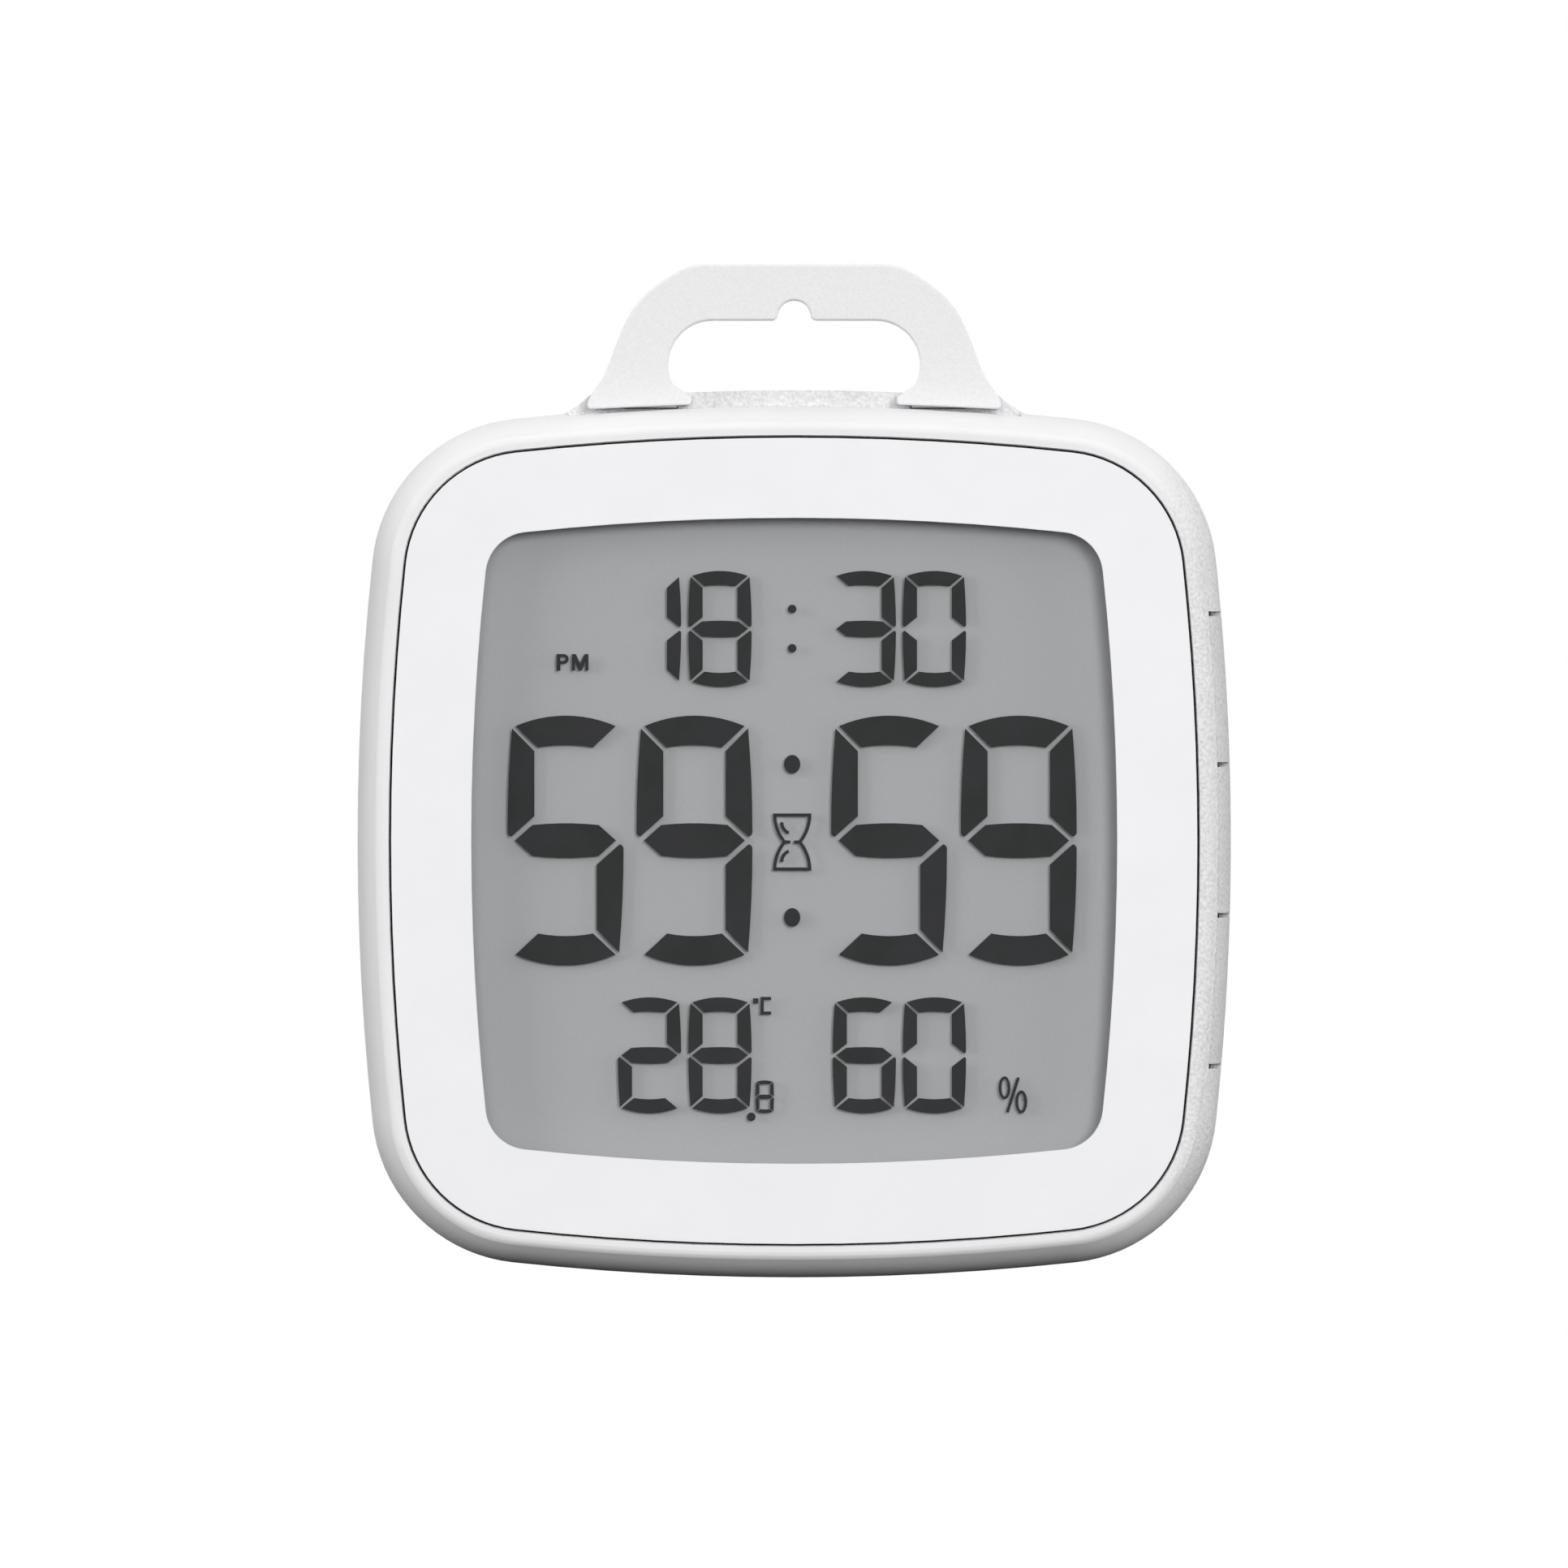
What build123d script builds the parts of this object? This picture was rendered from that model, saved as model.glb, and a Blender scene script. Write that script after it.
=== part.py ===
# Thermometer hygrometer clock with a hanging handle, millimetres.
# X is to the right, Y to the back, Z up. The origin is the centre of the hook notch.
from build123d import *
from math import asin, atan2, cos, degrees, hypot, pi, radians, sin, sqrt
import os

os.makedirs("parts", exist_ok=True)

# Body outline: four bowed sides and four round corners
BODY_HALF = 53.95
BOW_RADIUS = 326.0
CORNER_RADIUS = 19.5
HANGING_ROOM = 10.7
BODY_DROP = BODY_HALF + HANGING_ROOM
WALL = 2.4
OVERRUN = 1.0
FIT = 0.05
QUARTERS = 4

# Depths along Y, from the front face to the back
FRONT = -5.1
PANEL_THICK = 1.0
LEDGE_FRONT = -3.95
LEDGE_BACK = -2.95
SEAM_FRONT = 1.85
SEAM_BACK = 2.0
TONGUE_END = 3.5
RABBET_END = 3.95
BOARD_FRONT = 2.6
BOARD_THICK = 1.0
BOARD_BACK = BOARD_FRONT + BOARD_THICK
INNER_BACK = 14.8
BACK = 17.0

# Insets of the rings from the body outline
LIP_EDGE = 3.25
LIP_INNER = 3.95
PANEL_INSET = 4.28
PANE_LEDGE = 12.0
WINDOW_INSET = 14.15

# Centre and half angle of the corner arcs, so that they meet the bows smoothly
corner_reach = sqrt(2 * (BOW_RADIUS - CORNER_RADIUS) ** 2 - (BOW_RADIUS - BODY_HALF) ** 2)
CORNER_CENTRE = (BODY_HALF - BOW_RADIUS + corner_reach) / 2
BOW_ANGLE = atan2(CORNER_CENTRE, CORNER_CENTRE + BOW_RADIUS - BODY_HALF)


def facing(depth):
    """Plane parallel to the front face; a positive extrusion comes forward."""
    return Plane((0, depth, -BODY_DROP), x_dir=(1, 0, 0), z_dir=(0, -1, 0))


def hanging(depth):
    """The same plane, measured from the hook notch instead of the body centre."""
    return Plane((0, depth, 0), x_dir=(1, 0, 0), z_dir=(0, -1, 0))


def across(x_start):
    """Plane square to X, with Y and the height above the body centre."""
    return Plane((x_start, 0, -BODY_DROP), x_dir=(0, 1, 0), z_dir=(1, 0, 0))


def turned(point, quarters):
    """The point after a number of quarter turns about the body centre."""
    x, y = point
    for _ in range(quarters):
        x, y = -y, x
    return (x, y)


def bow_height(x, inset=0.0):
    """Height of the bowed top side above the body centre."""
    return BODY_HALF - BOW_RADIUS + sqrt((BOW_RADIUS - inset) ** 2 - x**2)


def outline_lines(inset):
    """The body outline, moved inwards by the inset."""
    bow = BOW_RADIUS - inset
    corner = CORNER_RADIUS - inset
    bow_centre = BODY_HALF - BOW_RADIUS
    middle = (BODY_HALF - inset, 0)
    half_way = (bow_centre + bow * cos(BOW_ANGLE / 2), bow * sin(BOW_ANGLE / 2))
    bow_end = (bow_centre + bow * cos(BOW_ANGLE), bow * sin(BOW_ANGLE))
    corner_tip = CORNER_CENTRE + corner * cos(pi / 4)
    for quarter in range(QUARTERS):
        turn = lambda x, y, q=quarter: turned((x, y), q)
        ThreePointArc(turn(*middle), turn(*half_way), turn(*bow_end))
        ThreePointArc(turn(*bow_end), turn(corner_tip, corner_tip), turn(*bow_end[::-1]))
        ThreePointArc(turn(*bow_end[::-1]), turn(*half_way[::-1]), turn(*middle[::-1]))


def outline_face(inset, mode=Mode.ADD):
    """A filled body outline in the sketch that is open."""
    with BuildLine() as outline:
        outline_lines(inset)
    make_face(outline.edges(), mode=mode)


def rectangle(left, right, bottom, top, mode=Mode.ADD):
    """A rectangle given by its four sides."""
    with Locations(((left + right) / 2, (bottom + top) / 2)):
        Rectangle(right - left, top - bottom, mode=mode)


def inward(inset, depth):
    """A point of a rim section: inset from the outline, and depth."""
    return (BODY_HALF - inset, depth)


RIM_SECTION = Plane((0, 0, -BODY_DROP), x_dir=(1, 0, 0), z_dir=(0, 0, 1))
with BuildLine(facing(0)) as rim_line:
    outline_lines(PANE_LEDGE)
RIM_PATH = rim_line.wires()[0]

# Barrel: the outer surface of the front housing, from the seam to a soft lip
LIP_RADIUS = 1.2
barrel_rise = SEAM_FRONT - FRONT - LIP_RADIUS
BARREL_RADIUS = (LIP_EDGE**2 + barrel_rise**2 - LIP_RADIUS**2) / (2 * (LIP_EDGE - LIP_RADIUS))
LIP_ANGLE = atan2(barrel_rise, BARREL_RADIUS - LIP_EDGE)


def barrel_point(angle):
    """Point of the barrel, by its angle from the seam."""
    return (BARREL_RADIUS * (1 - cos(angle)), SEAM_FRONT - BARREL_RADIUS * sin(angle))


def lip_point(angle):
    """Point of the rounded lip."""
    centre_depth = FRONT + LIP_RADIUS
    return (LIP_EDGE - LIP_RADIUS * cos(angle), centre_depth - LIP_RADIUS * sin(angle))


# Keys on the right side, between four slits
KEY_PITCH = 18.6
KEY_MIDDLE = 0.1
KEY_SLIT = 0.6
KEY_FRONT = -3.6
KEY_BACK = 1.7
KEY_THICK = 2.9
KEY_TRAVEL = 0.5
KEY_FRONT_GAP = 0.1
KEY_SWEEP_GAP = 0.15
KEY_HEIGHTS = [KEY_MIDDLE + KEY_PITCH * step for step in (1, 0, -1)]
KEYS_TOP = KEY_MIDDLE + 1.5 * KEY_PITCH + KEY_SLIT / 2
KEYS_BOTTOM = KEY_MIDDLE - 1.5 * KEY_PITCH - KEY_SLIT / 2

# Screws of the case and the board
CASE_SCREW_X = 26.0
CASE_SCREW_INSET = 7.45
CASE_SCREW_Z = BODY_HALF - CASE_SCREW_INSET
CASE_SHANK = 1.25
FRONT_BOSS = 2.7
FRONT_BOSS_END = 3.0
CASE_SCREW_TIP = -1.4
BOARD_POST_SIDE = 8.45
BOARD_POST_X = BODY_HALF - BOARD_POST_SIDE
BOARD_POST_BELOW = 20.95
BOARD_POST_Z = BODY_HALF - BOARD_POST_BELOW
BOARD_POST = 2.2
BOARD_SHANK = 0.9
BOARD_SCREW_TIP = -1.4
CASE_SCREWS = GridLocations(2 * CASE_SCREW_X, 2 * CASE_SCREW_Z, 2, 2)
BOARD_SCREWS = GridLocations(2 * BOARD_POST_X, 2 * BOARD_POST_Z, 2, 2)

# Front housing: barrel rim, lip, ledge for panel and pane, bosses, key opening
TONGUE_INSET = 1.5
SADDLE_DEPTH = 0.35
SADDLE_HALF = 28.0
KEY_OPENING_INSET = 7.95
KEY_OPENING_X = BODY_HALF - KEY_OPENING_INSET
with BuildPart() as front_housing:
    with BuildSketch(RIM_SECTION):
        with BuildLine():
            ThreePointArc(
                inward(*barrel_point(0)),
                inward(*barrel_point(LIP_ANGLE / 2)),
                inward(*barrel_point(LIP_ANGLE)),
            )
            ThreePointArc(
                inward(*lip_point(LIP_ANGLE)),
                inward(*lip_point((LIP_ANGLE + pi / 2) / 2)),
                inward(*lip_point(pi / 2)),
            )
            Polyline(
                inward(LIP_EDGE, FRONT),
                inward(LIP_INNER, FRONT),
                inward(LIP_INNER, LEDGE_FRONT),
                inward(PANE_LEDGE, LEDGE_FRONT),
                inward(PANE_LEDGE, LEDGE_BACK),
                inward(WALL, LEDGE_BACK),
                inward(WALL, TONGUE_END),
                inward(TONGUE_INSET, TONGUE_END),
                inward(TONGUE_INSET, SEAM_FRONT),
                inward(0, SEAM_FRONT),
            )
        make_face()
    sweep(path=RIM_PATH)
    # Saddle under the handle feet
    with BuildSketch(facing(SEAM_FRONT + OVERRUN)):
        rectangle(-SADDLE_HALF, SADDLE_HALF, 0, BODY_HALF + OVERRUN)
        outline_face(SADDLE_DEPTH, mode=Mode.SUBTRACT)
    extrude(amount=SEAM_FRONT - FRONT, mode=Mode.SUBTRACT)
    # Opening for the three keys
    with BuildSketch(facing(TONGUE_END + OVERRUN)):
        rectangle(KEY_OPENING_X, BODY_HALF + OVERRUN, KEYS_BOTTOM, KEYS_TOP)
    extrude(amount=TONGUE_END + OVERRUN - LEDGE_BACK, mode=Mode.SUBTRACT)
    with BuildSketch(facing(LEDGE_BACK + FIT)):
        rectangle(KEY_OPENING_X, BODY_HALF + OVERRUN, KEYS_BOTTOM, KEYS_TOP)
        outline_face(KEY_THICK + KEY_TRAVEL + KEY_SWEEP_GAP, mode=Mode.SUBTRACT)
    extrude(amount=LEDGE_BACK + FIT - KEY_FRONT + KEY_FRONT_GAP, mode=Mode.SUBTRACT)
    # Bosses and posts behind the ledge
    with BuildSketch(facing(FRONT_BOSS_END)):
        with CASE_SCREWS:
            Circle(FRONT_BOSS)
    extrude(amount=FRONT_BOSS_END - LEDGE_BACK + FIT)
    with BuildSketch(facing(BOARD_FRONT - FIT)):
        with BOARD_SCREWS:
            Circle(BOARD_POST)
    extrude(amount=BOARD_FRONT - LEDGE_BACK)
    with BuildSketch(facing(FRONT_BOSS_END + OVERRUN)):
        with CASE_SCREWS:
            Circle(CASE_SHANK + FIT)
        with BOARD_SCREWS:
            Circle(BOARD_SHANK + FIT)
    extrude(amount=FRONT_BOSS_END + OVERRUN - CASE_SCREW_TIP + 2 * FIT, mode=Mode.SUBTRACT)
front_housing.part.label = "front_housing"
export_step(front_housing.part, "parts/front_housing.step")

# Front panel: the flat white border, and the tape that holds it, black under the gap
with BuildPart() as front_panel:
    with BuildSketch(facing(FRONT + PANEL_THICK)):
        outline_face(PANEL_INSET)
        outline_face(WINDOW_INSET, mode=Mode.SUBTRACT)
    extrude(amount=PANEL_THICK)
front_panel.part.label = "front_panel"
export_step(front_panel.part, "parts/front_panel.step")

TAPE_EDGE_GAP = 0.1
TAPE_MARGIN = 0.8
TAPE_THICK = LEDGE_FRONT - FRONT - PANEL_THICK - FIT
with BuildPart() as panel_tape:
    with BuildSketch(facing(LEDGE_FRONT - FIT / 2)):
        outline_face(LIP_INNER + TAPE_EDGE_GAP)
        outline_face(PANE_LEDGE - TAPE_MARGIN, mode=Mode.SUBTRACT)
    extrude(amount=TAPE_THICK)
panel_tape.part.label = "panel_tape"
export_step(panel_tape.part, "parts/panel_tape.step")

# Window pane, set in the ledge behind the panel
PANE_THICK = 0.85
PANE_GAP = 0.2
with BuildPart() as window_pane:
    with BuildSketch(facing(FRONT + PANEL_THICK + FIT + PANE_THICK)):
        outline_face(PANE_LEDGE + PANE_GAP)
    extrude(amount=PANE_THICK)
window_pane.part.label = "window_pane"
export_step(window_pane.part, "parts/window_pane.step")

# Display: front glass, segments, rear glass and grey reflector
GLASS_INSET = 12.95
GLASS_HALF = BODY_HALF - GLASS_INSET
GLASS_THICK = 0.7
REAR_GLASS_THICK = 0.6
CONTACT_EDGE = 1.3
FRONT_GLASS_TOP = GLASS_HALF + CONTACT_EDGE
REAR_GLASS_STEP = 0.7
REAR_GLASS_TOP = GLASS_HALF - REAR_GLASS_STEP
SEGMENT_THICK = 0.08
REFLECTOR_THICK = 0.15
REFLECTOR_MARGIN = 0.15
GLASS_FRONT = LEDGE_BACK + FIT
SEGMENT_BACK = GLASS_FRONT + GLASS_THICK + FIT / 2 + SEGMENT_THICK
REAR_GLASS_BACK = SEGMENT_BACK + FIT / 2 + REAR_GLASS_THICK
REFLECTOR_BACK = REAR_GLASS_BACK + FIT + REFLECTOR_THICK
with BuildPart() as lcd_front_glass:
    with BuildSketch(facing(GLASS_FRONT + GLASS_THICK)):
        rectangle(-GLASS_HALF, GLASS_HALF, -GLASS_HALF, FRONT_GLASS_TOP)
    extrude(amount=GLASS_THICK)
lcd_front_glass.part.label = "lcd_front_glass"
export_step(lcd_front_glass.part, "parts/lcd_front_glass.step")

with BuildPart() as lcd_rear_glass:
    with BuildSketch(facing(REAR_GLASS_BACK)):
        rectangle(-GLASS_HALF, GLASS_HALF, -GLASS_HALF, REAR_GLASS_TOP)
    extrude(amount=REAR_GLASS_THICK)
lcd_rear_glass.part.label = "lcd_rear_glass"
export_step(lcd_rear_glass.part, "parts/lcd_rear_glass.step")

reflector_half = GLASS_HALF - REFLECTOR_MARGIN
with BuildPart() as lcd_reflector:
    with BuildSketch(facing(REFLECTOR_BACK)):
        rectangle(
            -reflector_half, reflector_half, -reflector_half, REAR_GLASS_TOP - REFLECTOR_MARGIN
        )
    extrude(amount=REFLECTOR_THICK)
lcd_reflector.part.label = "lcd_reflector"
export_step(lcd_reflector.part, "parts/lcd_reflector.step")

# Seven segments: which of them each digit lights
DIGIT_SEGMENTS = {
    "0": "abcdef",
    "1": "bc",
    "2": "abdeg",
    "3": "abcdg",
    "5": "acdfg",
    "6": "acdefg",
    "8": "abcdefg",
    "9": "abcdfg",
}
# Shares of a stroke that shape the ends and the bows of the bars
GAP_SHARE = 0.13
SAG_SHARE = 0.36
TIP_SHARE = 0.27
ARCH_SHARE = 0.09
BEND_SHARE = 0.15
SIDE_TOP_SHARE = 0.44
SIDE_INNER_SHARE = 1.22
MIDDLE_INNER_SHARE = 0.83
MIDDLE_HALF_SHARE = 0.53
MIDDLE_BOW_SHARE = 0.06
HEEL_RADIUS_SHARE = 0.16
HEEL_TURN = radians(80)


def outer_bar(left, base, width, stroke, side, up):
    """Top segment (up = 1) or bottom segment (up = -1) of a digit, bowed on both edges."""
    gap = stroke * GAP_SHARE
    tip = stroke * TIP_SHARE
    inset = side + gap
    depth = stroke * (1 + ARCH_SHARE)
    outer = base - up * stroke * SAG_SHARE
    with BuildLine() as bar:
        ThreePointArc((left + tip, outer), (left + width / 2, base), (left + width - tip, outer))
        Line((left + width - tip, outer), (left + width - inset, base - up * depth))
        ThreePointArc(
            (left + width - inset, base - up * depth),
            (left + width / 2, base - up * stroke),
            (left + inset, base - up * depth),
        )
        Line((left + inset, base - up * depth), (left + tip, outer))
    make_face(bar.edges())


def side_bar(edge, inner, middle, end, stroke, up):
    """One side segment, from the middle of the digit to its top or bottom end."""
    inwards = (inner - edge) / abs(inner - edge)
    bend = stroke * BEND_SHARE
    heel_radius = stroke * HEEL_RADIUS_SHARE
    foot_level = middle + up * stroke * GAP_SHARE

    def heel_point(angle):
        """Point of the rounded corner beside the middle, by its angle from the foot's level."""
        reach = heel_radius * (1 - cos(angle))
        return (edge + inwards * reach, foot_level + up * heel_radius * (1 - sin(angle)))

    heel = heel_point(0)
    foot = heel_point(HEEL_TURN)
    head = (edge + inwards * bend, end - up * stroke * SIDE_TOP_SHARE)
    with BuildLine() as bar:
        ThreePointArc(foot, heel_point(HEEL_TURN / 2), heel)
        ThreePointArc(heel, (edge + inwards * bend / 4, (heel[1] + head[1]) / 2), head)
        Polyline(
            head,
            (inner, end - up * stroke * SIDE_INNER_SHARE),
            (inner, middle + up * stroke * MIDDLE_INNER_SHARE),
            foot,
        )
    make_face(bar.edges())


def middle_bar(left, middle, width, stroke, side):
    """The six-sided segment across the middle, with bowed long edges."""
    gap = stroke * GAP_SHARE
    tip = 2 * gap
    shoulder = side - gap / 2
    half = stroke * MIDDLE_HALF_SHARE
    crown = half + stroke * MIDDLE_BOW_SHARE
    right = left + width
    with BuildLine() as bar:
        ThreePointArc(
            (left + shoulder, middle + half),
            (left + width / 2, middle + crown),
            (right - shoulder, middle + half),
        )
        Polyline(
            (right - shoulder, middle + half), (right - tip, middle), (right - shoulder, middle - half)
        )
        ThreePointArc(
            (right - shoulder, middle - half),
            (left + width / 2, middle - crown),
            (left + shoulder, middle - half),
        )
        Polyline(
            (left + shoulder, middle - half), (left + tip, middle), (left + shoulder, middle + half)
        )
    make_face(bar.edges())


def digit(sign, left, base, width, height, stroke, side):
    """One seven-segment digit with its lower left corner at (left, base)."""
    lit = DIGIT_SEGMENTS[sign]
    top = base + height
    middle = base + height / 2
    right = left + width
    if "a" in lit:
        outer_bar(left, top, width, stroke, side, 1)
    if "d" in lit:
        outer_bar(left, base, width, stroke, side, -1)
    if "g" in lit:
        middle_bar(left, middle, width, stroke, side)
    if "f" in lit:
        side_bar(left, left + side, middle, top, stroke, 1)
    if "b" in lit:
        side_bar(right, right - side, middle, top, stroke, 1)
    if "e" in lit:
        side_bar(left, left + side, middle, base, stroke, -1)
    if "c" in lit:
        side_bar(right, right - side, middle, base, stroke, -1)


# Artwork of the display, drawn in pixels for a glass of this half width: digits are
# given by their width, height, bar and side thickness
ARTWORK_HALF_PX = 410
BIG_DIGIT_PX = (143, 308, 36, 33)
SMALL_DIGIT_PX = (78, 143, 17.2, 17.5)
TINY_DIGIT_PX = (22.5, 40.5, 4.6, 4.6)
BIG_BASE_PX = -153.5
TOP_ROW_BASE_PX = 190
LOW_ROW_BASE_PX = -336
BIG_COLUMNS_PX = (-353.5, -194.5, 45.5, 205.5)
SMALL_COLUMNS_PX = (-217.5, -130.5, 47.5, 134)
TINY_COLUMN_PX = -47.5
COLON_X_PX = -2.5
BIG_COLON_PX = (10, 11.5)
BIG_COLON_RISE_PX = 94.5
TOP_COLON_HEIGHTS_PX = (286, 237.5)
DOT_RADIUS_PX = 5.3
POINT_AT_PX = (-53, -340.5)

# Signs: degree and C, percent, PM, hourglass
SIGN_STROKE_PX = 4
DEGREE_AT_PX = (-47.5, -197.5)
DEGREE_SIZE_PX = 6.5
LETTER_C_PX = (-41.5, -28.5, -214.5, -192.5)
PERCENT_AT_PX = (269.8, -313.4)
PERCENT_REACH_PX = (10.3, 8.7)
PERCENT_OVAL_PX = (7.3, 14.2)
PERCENT_STROKE_PX = 3.6
PERCENT_SLASH_PX = (6.8, 21.5)
PM_TOP_PX = 230.4
PM_BASE_PX = 210
PM_STROKE_PX = 4.8
PM_THIN_PX = 3.8
PM_BOWL_PX = 12.2
LETTER_P_PX = (-293.2, -278.2)
LETTER_M_PX = (-274.2, -253.8)
LETTER_M_VALLEY_PX = 5
GLASS_AT_PX = (-2.5, -1.5)
BULB_HEAD_PX = (21.6, 33.3)
BULB_SIDE_PX = (19, 17.5)
BULB_NECK_PX = (9.4, 0)
NECK_HALF_PX = 2.2
GLINT_HEAD_PX = (-12.9, 24.5)
GLINT_SIDE_PX = (-10.6, 16.5)
GLINT_TAIL_PX = (-4.2, 11.2)


def degree_and_c():
    """A small square degree sign and a square C."""
    with Locations(DEGREE_AT_PX):
        Rectangle(DEGREE_SIZE_PX, DEGREE_SIZE_PX)
    left, right, low, high = LETTER_C_PX
    rectangle(left, right, high - SIGN_STROKE_PX, high)
    rectangle(left, right, low, low + SIGN_STROKE_PX)
    rectangle(left, left + SIGN_STROKE_PX, low, high)


def mirrored(points, across_x, across_z):
    """The points, taken from the middle of the hourglass to one of its quarters."""
    x, z = GLASS_AT_PX
    return [(x + across_x * dx, z + across_z * dz) for dx, dz in points]


def percent_sign():
    """Two tall ovals and a slanted stroke."""
    x, z = PERCENT_AT_PX
    reach, rise = PERCENT_REACH_PX
    half_width, half_height = PERCENT_OVAL_PX
    with Locations((x - reach, z + rise), (x + reach, z - rise)):
        Ellipse(half_width, half_height)
        Ellipse(half_width - PERCENT_STROKE_PX, half_height - PERCENT_STROKE_PX, mode=Mode.SUBTRACT)
    slash_x, slash_z = PERCENT_SLASH_PX
    with BuildLine() as slash:
        Line((x - slash_x, z - slash_z), (x + slash_x, z + slash_z))
    trace(slash.edges(), line_width=PERCENT_STROKE_PX)


def pm_letters():
    """The afternoon sign in bold upright letters."""
    left, right = LETTER_P_PX
    bowl_low = PM_TOP_PX - PM_BOWL_PX
    outer = PM_BOWL_PX / 2
    bowl_at = (right - outer, PM_TOP_PX - outer)
    rectangle(left, left + PM_STROKE_PX, PM_BASE_PX, PM_TOP_PX)
    rectangle(left, right - outer, bowl_low, PM_TOP_PX)
    with Locations(bowl_at):
        Circle(outer)
        Circle(outer - PM_THIN_PX, mode=Mode.SUBTRACT)
    rectangle(
        left + PM_STROKE_PX, right - outer, bowl_low + PM_THIN_PX, PM_TOP_PX - PM_THIN_PX, mode=Mode.SUBTRACT
    )
    left, right = LETTER_M_PX
    middle = (left + right) / 2
    rectangle(left, left + PM_THIN_PX, PM_BASE_PX, PM_TOP_PX)
    rectangle(right - PM_THIN_PX, right, PM_BASE_PX, PM_TOP_PX)
    with BuildLine() as valley:
        Polyline(
            (left, PM_TOP_PX),
            (left + PM_STROKE_PX, PM_TOP_PX),
            (middle, PM_BASE_PX + LETTER_M_VALLEY_PX + PM_THIN_PX),
            (right - PM_STROKE_PX, PM_TOP_PX),
            (right, PM_TOP_PX),
            (middle + PM_THIN_PX / 2, PM_BASE_PX),
            (middle - PM_THIN_PX / 2, PM_BASE_PX),
            (left, PM_TOP_PX),
        )
    make_face(valley.edges())


def hourglass():
    """Two rounded bulbs between flat caps, each with a glint."""
    x, z = GLASS_AT_PX
    for up in (1, -1):
        cap_z = z + up * BULB_HEAD_PX[1]
        with BuildLine() as lines:
            Line((x - BULB_HEAD_PX[0], cap_z), (x + BULB_HEAD_PX[0], cap_z))
            ThreePointArc(*mirrored((GLINT_HEAD_PX, GLINT_SIDE_PX, GLINT_TAIL_PX), 1, up))
            for side in (1, -1):
                ThreePointArc(*mirrored((BULB_HEAD_PX, BULB_SIDE_PX, BULB_NECK_PX), side, up))
        trace(lines.edges(), line_width=SIGN_STROKE_PX)
    for side in (1, -1):
        ends = sorted((x + side * NECK_HALF_PX, x + side * BULB_NECK_PX[0]))
        rectangle(*ends, z - SIGN_STROKE_PX / 2, z + SIGN_STROKE_PX / 2)


with BuildPart() as lcd_segments:
    with BuildSketch(facing(SEGMENT_BACK)):
        for sign, column in zip("5959", BIG_COLUMNS_PX):
            digit(sign, column, BIG_BASE_PX, *BIG_DIGIT_PX)
        for sign, column in zip("1830", SMALL_COLUMNS_PX):
            digit(sign, column, TOP_ROW_BASE_PX, *SMALL_DIGIT_PX)
        for sign, column in zip("2860", SMALL_COLUMNS_PX):
            digit(sign, column, LOW_ROW_BASE_PX, *SMALL_DIGIT_PX)
        digit("8", TINY_COLUMN_PX, LOW_ROW_BASE_PX, *TINY_DIGIT_PX)
        with Locations((COLON_X_PX, BIG_COLON_RISE_PX), (COLON_X_PX, -BIG_COLON_RISE_PX)):
            Ellipse(*BIG_COLON_PX)
        with Locations(*[(COLON_X_PX, height) for height in TOP_COLON_HEIGHTS_PX], POINT_AT_PX):
            Circle(DOT_RADIUS_PX)
        degree_and_c()
        percent_sign()
        pm_letters()
        hourglass()
        scale(by=GLASS_HALF / ARTWORK_HALF_PX)
    extrude(amount=SEGMENT_THICK)
lcd_segments.part.label = "lcd_segments"
export_step(lcd_segments.part, "parts/lcd_segments.step")
print("display segments:", len(lcd_segments.part.solids()))

# Display holder: a frame behind the display, with a step that presses on the glass
HOLDER_WALL = 1.45
HOLDER_TOP_WALL = 0.75
HOLDER_POCKET = GLASS_HALF + 3 * FIT
HOLDER_POCKET_TOP = FRONT_GLASS_TOP + 3 * FIT
HOLDER_OUTER = HOLDER_POCKET + HOLDER_WALL
HOLDER_TOP = HOLDER_POCKET_TOP + HOLDER_TOP_WALL
HOLDER_REST = 2.5
HOLDER_OPENING = GLASS_HALF - HOLDER_REST
HOLDER_FRONT = GLASS_FRONT + FIT
HOLDER_BACK = BOARD_FRONT - FIT
HOLDER_STEP = REFLECTOR_BACK + FIT
ZEBRA_GAP = 0.25
ZEBRA_LOW = REAR_GLASS_TOP + ZEBRA_GAP
ZEBRA_EDGE = 0.35
ZEBRA_HIGH = FRONT_GLASS_TOP - ZEBRA_EDGE
with BuildPart() as lcd_holder:
    with BuildSketch(facing(HOLDER_BACK)):
        rectangle(-HOLDER_OUTER, HOLDER_OUTER, -HOLDER_OUTER, HOLDER_TOP)
        rectangle(
            -HOLDER_OPENING, HOLDER_OPENING, -HOLDER_OPENING, HOLDER_POCKET_TOP, mode=Mode.SUBTRACT
        )
    extrude(amount=HOLDER_BACK - HOLDER_FRONT)
    with BuildSketch(facing(HOLDER_STEP)):
        rectangle(-HOLDER_POCKET, HOLDER_POCKET, -HOLDER_POCKET, HOLDER_POCKET_TOP)
    extrude(amount=HOLDER_STEP - HOLDER_FRONT + OVERRUN, mode=Mode.SUBTRACT)
lcd_holder.part.label = "lcd_holder"
export_step(lcd_holder.part, "parts/lcd_holder.step")

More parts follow.
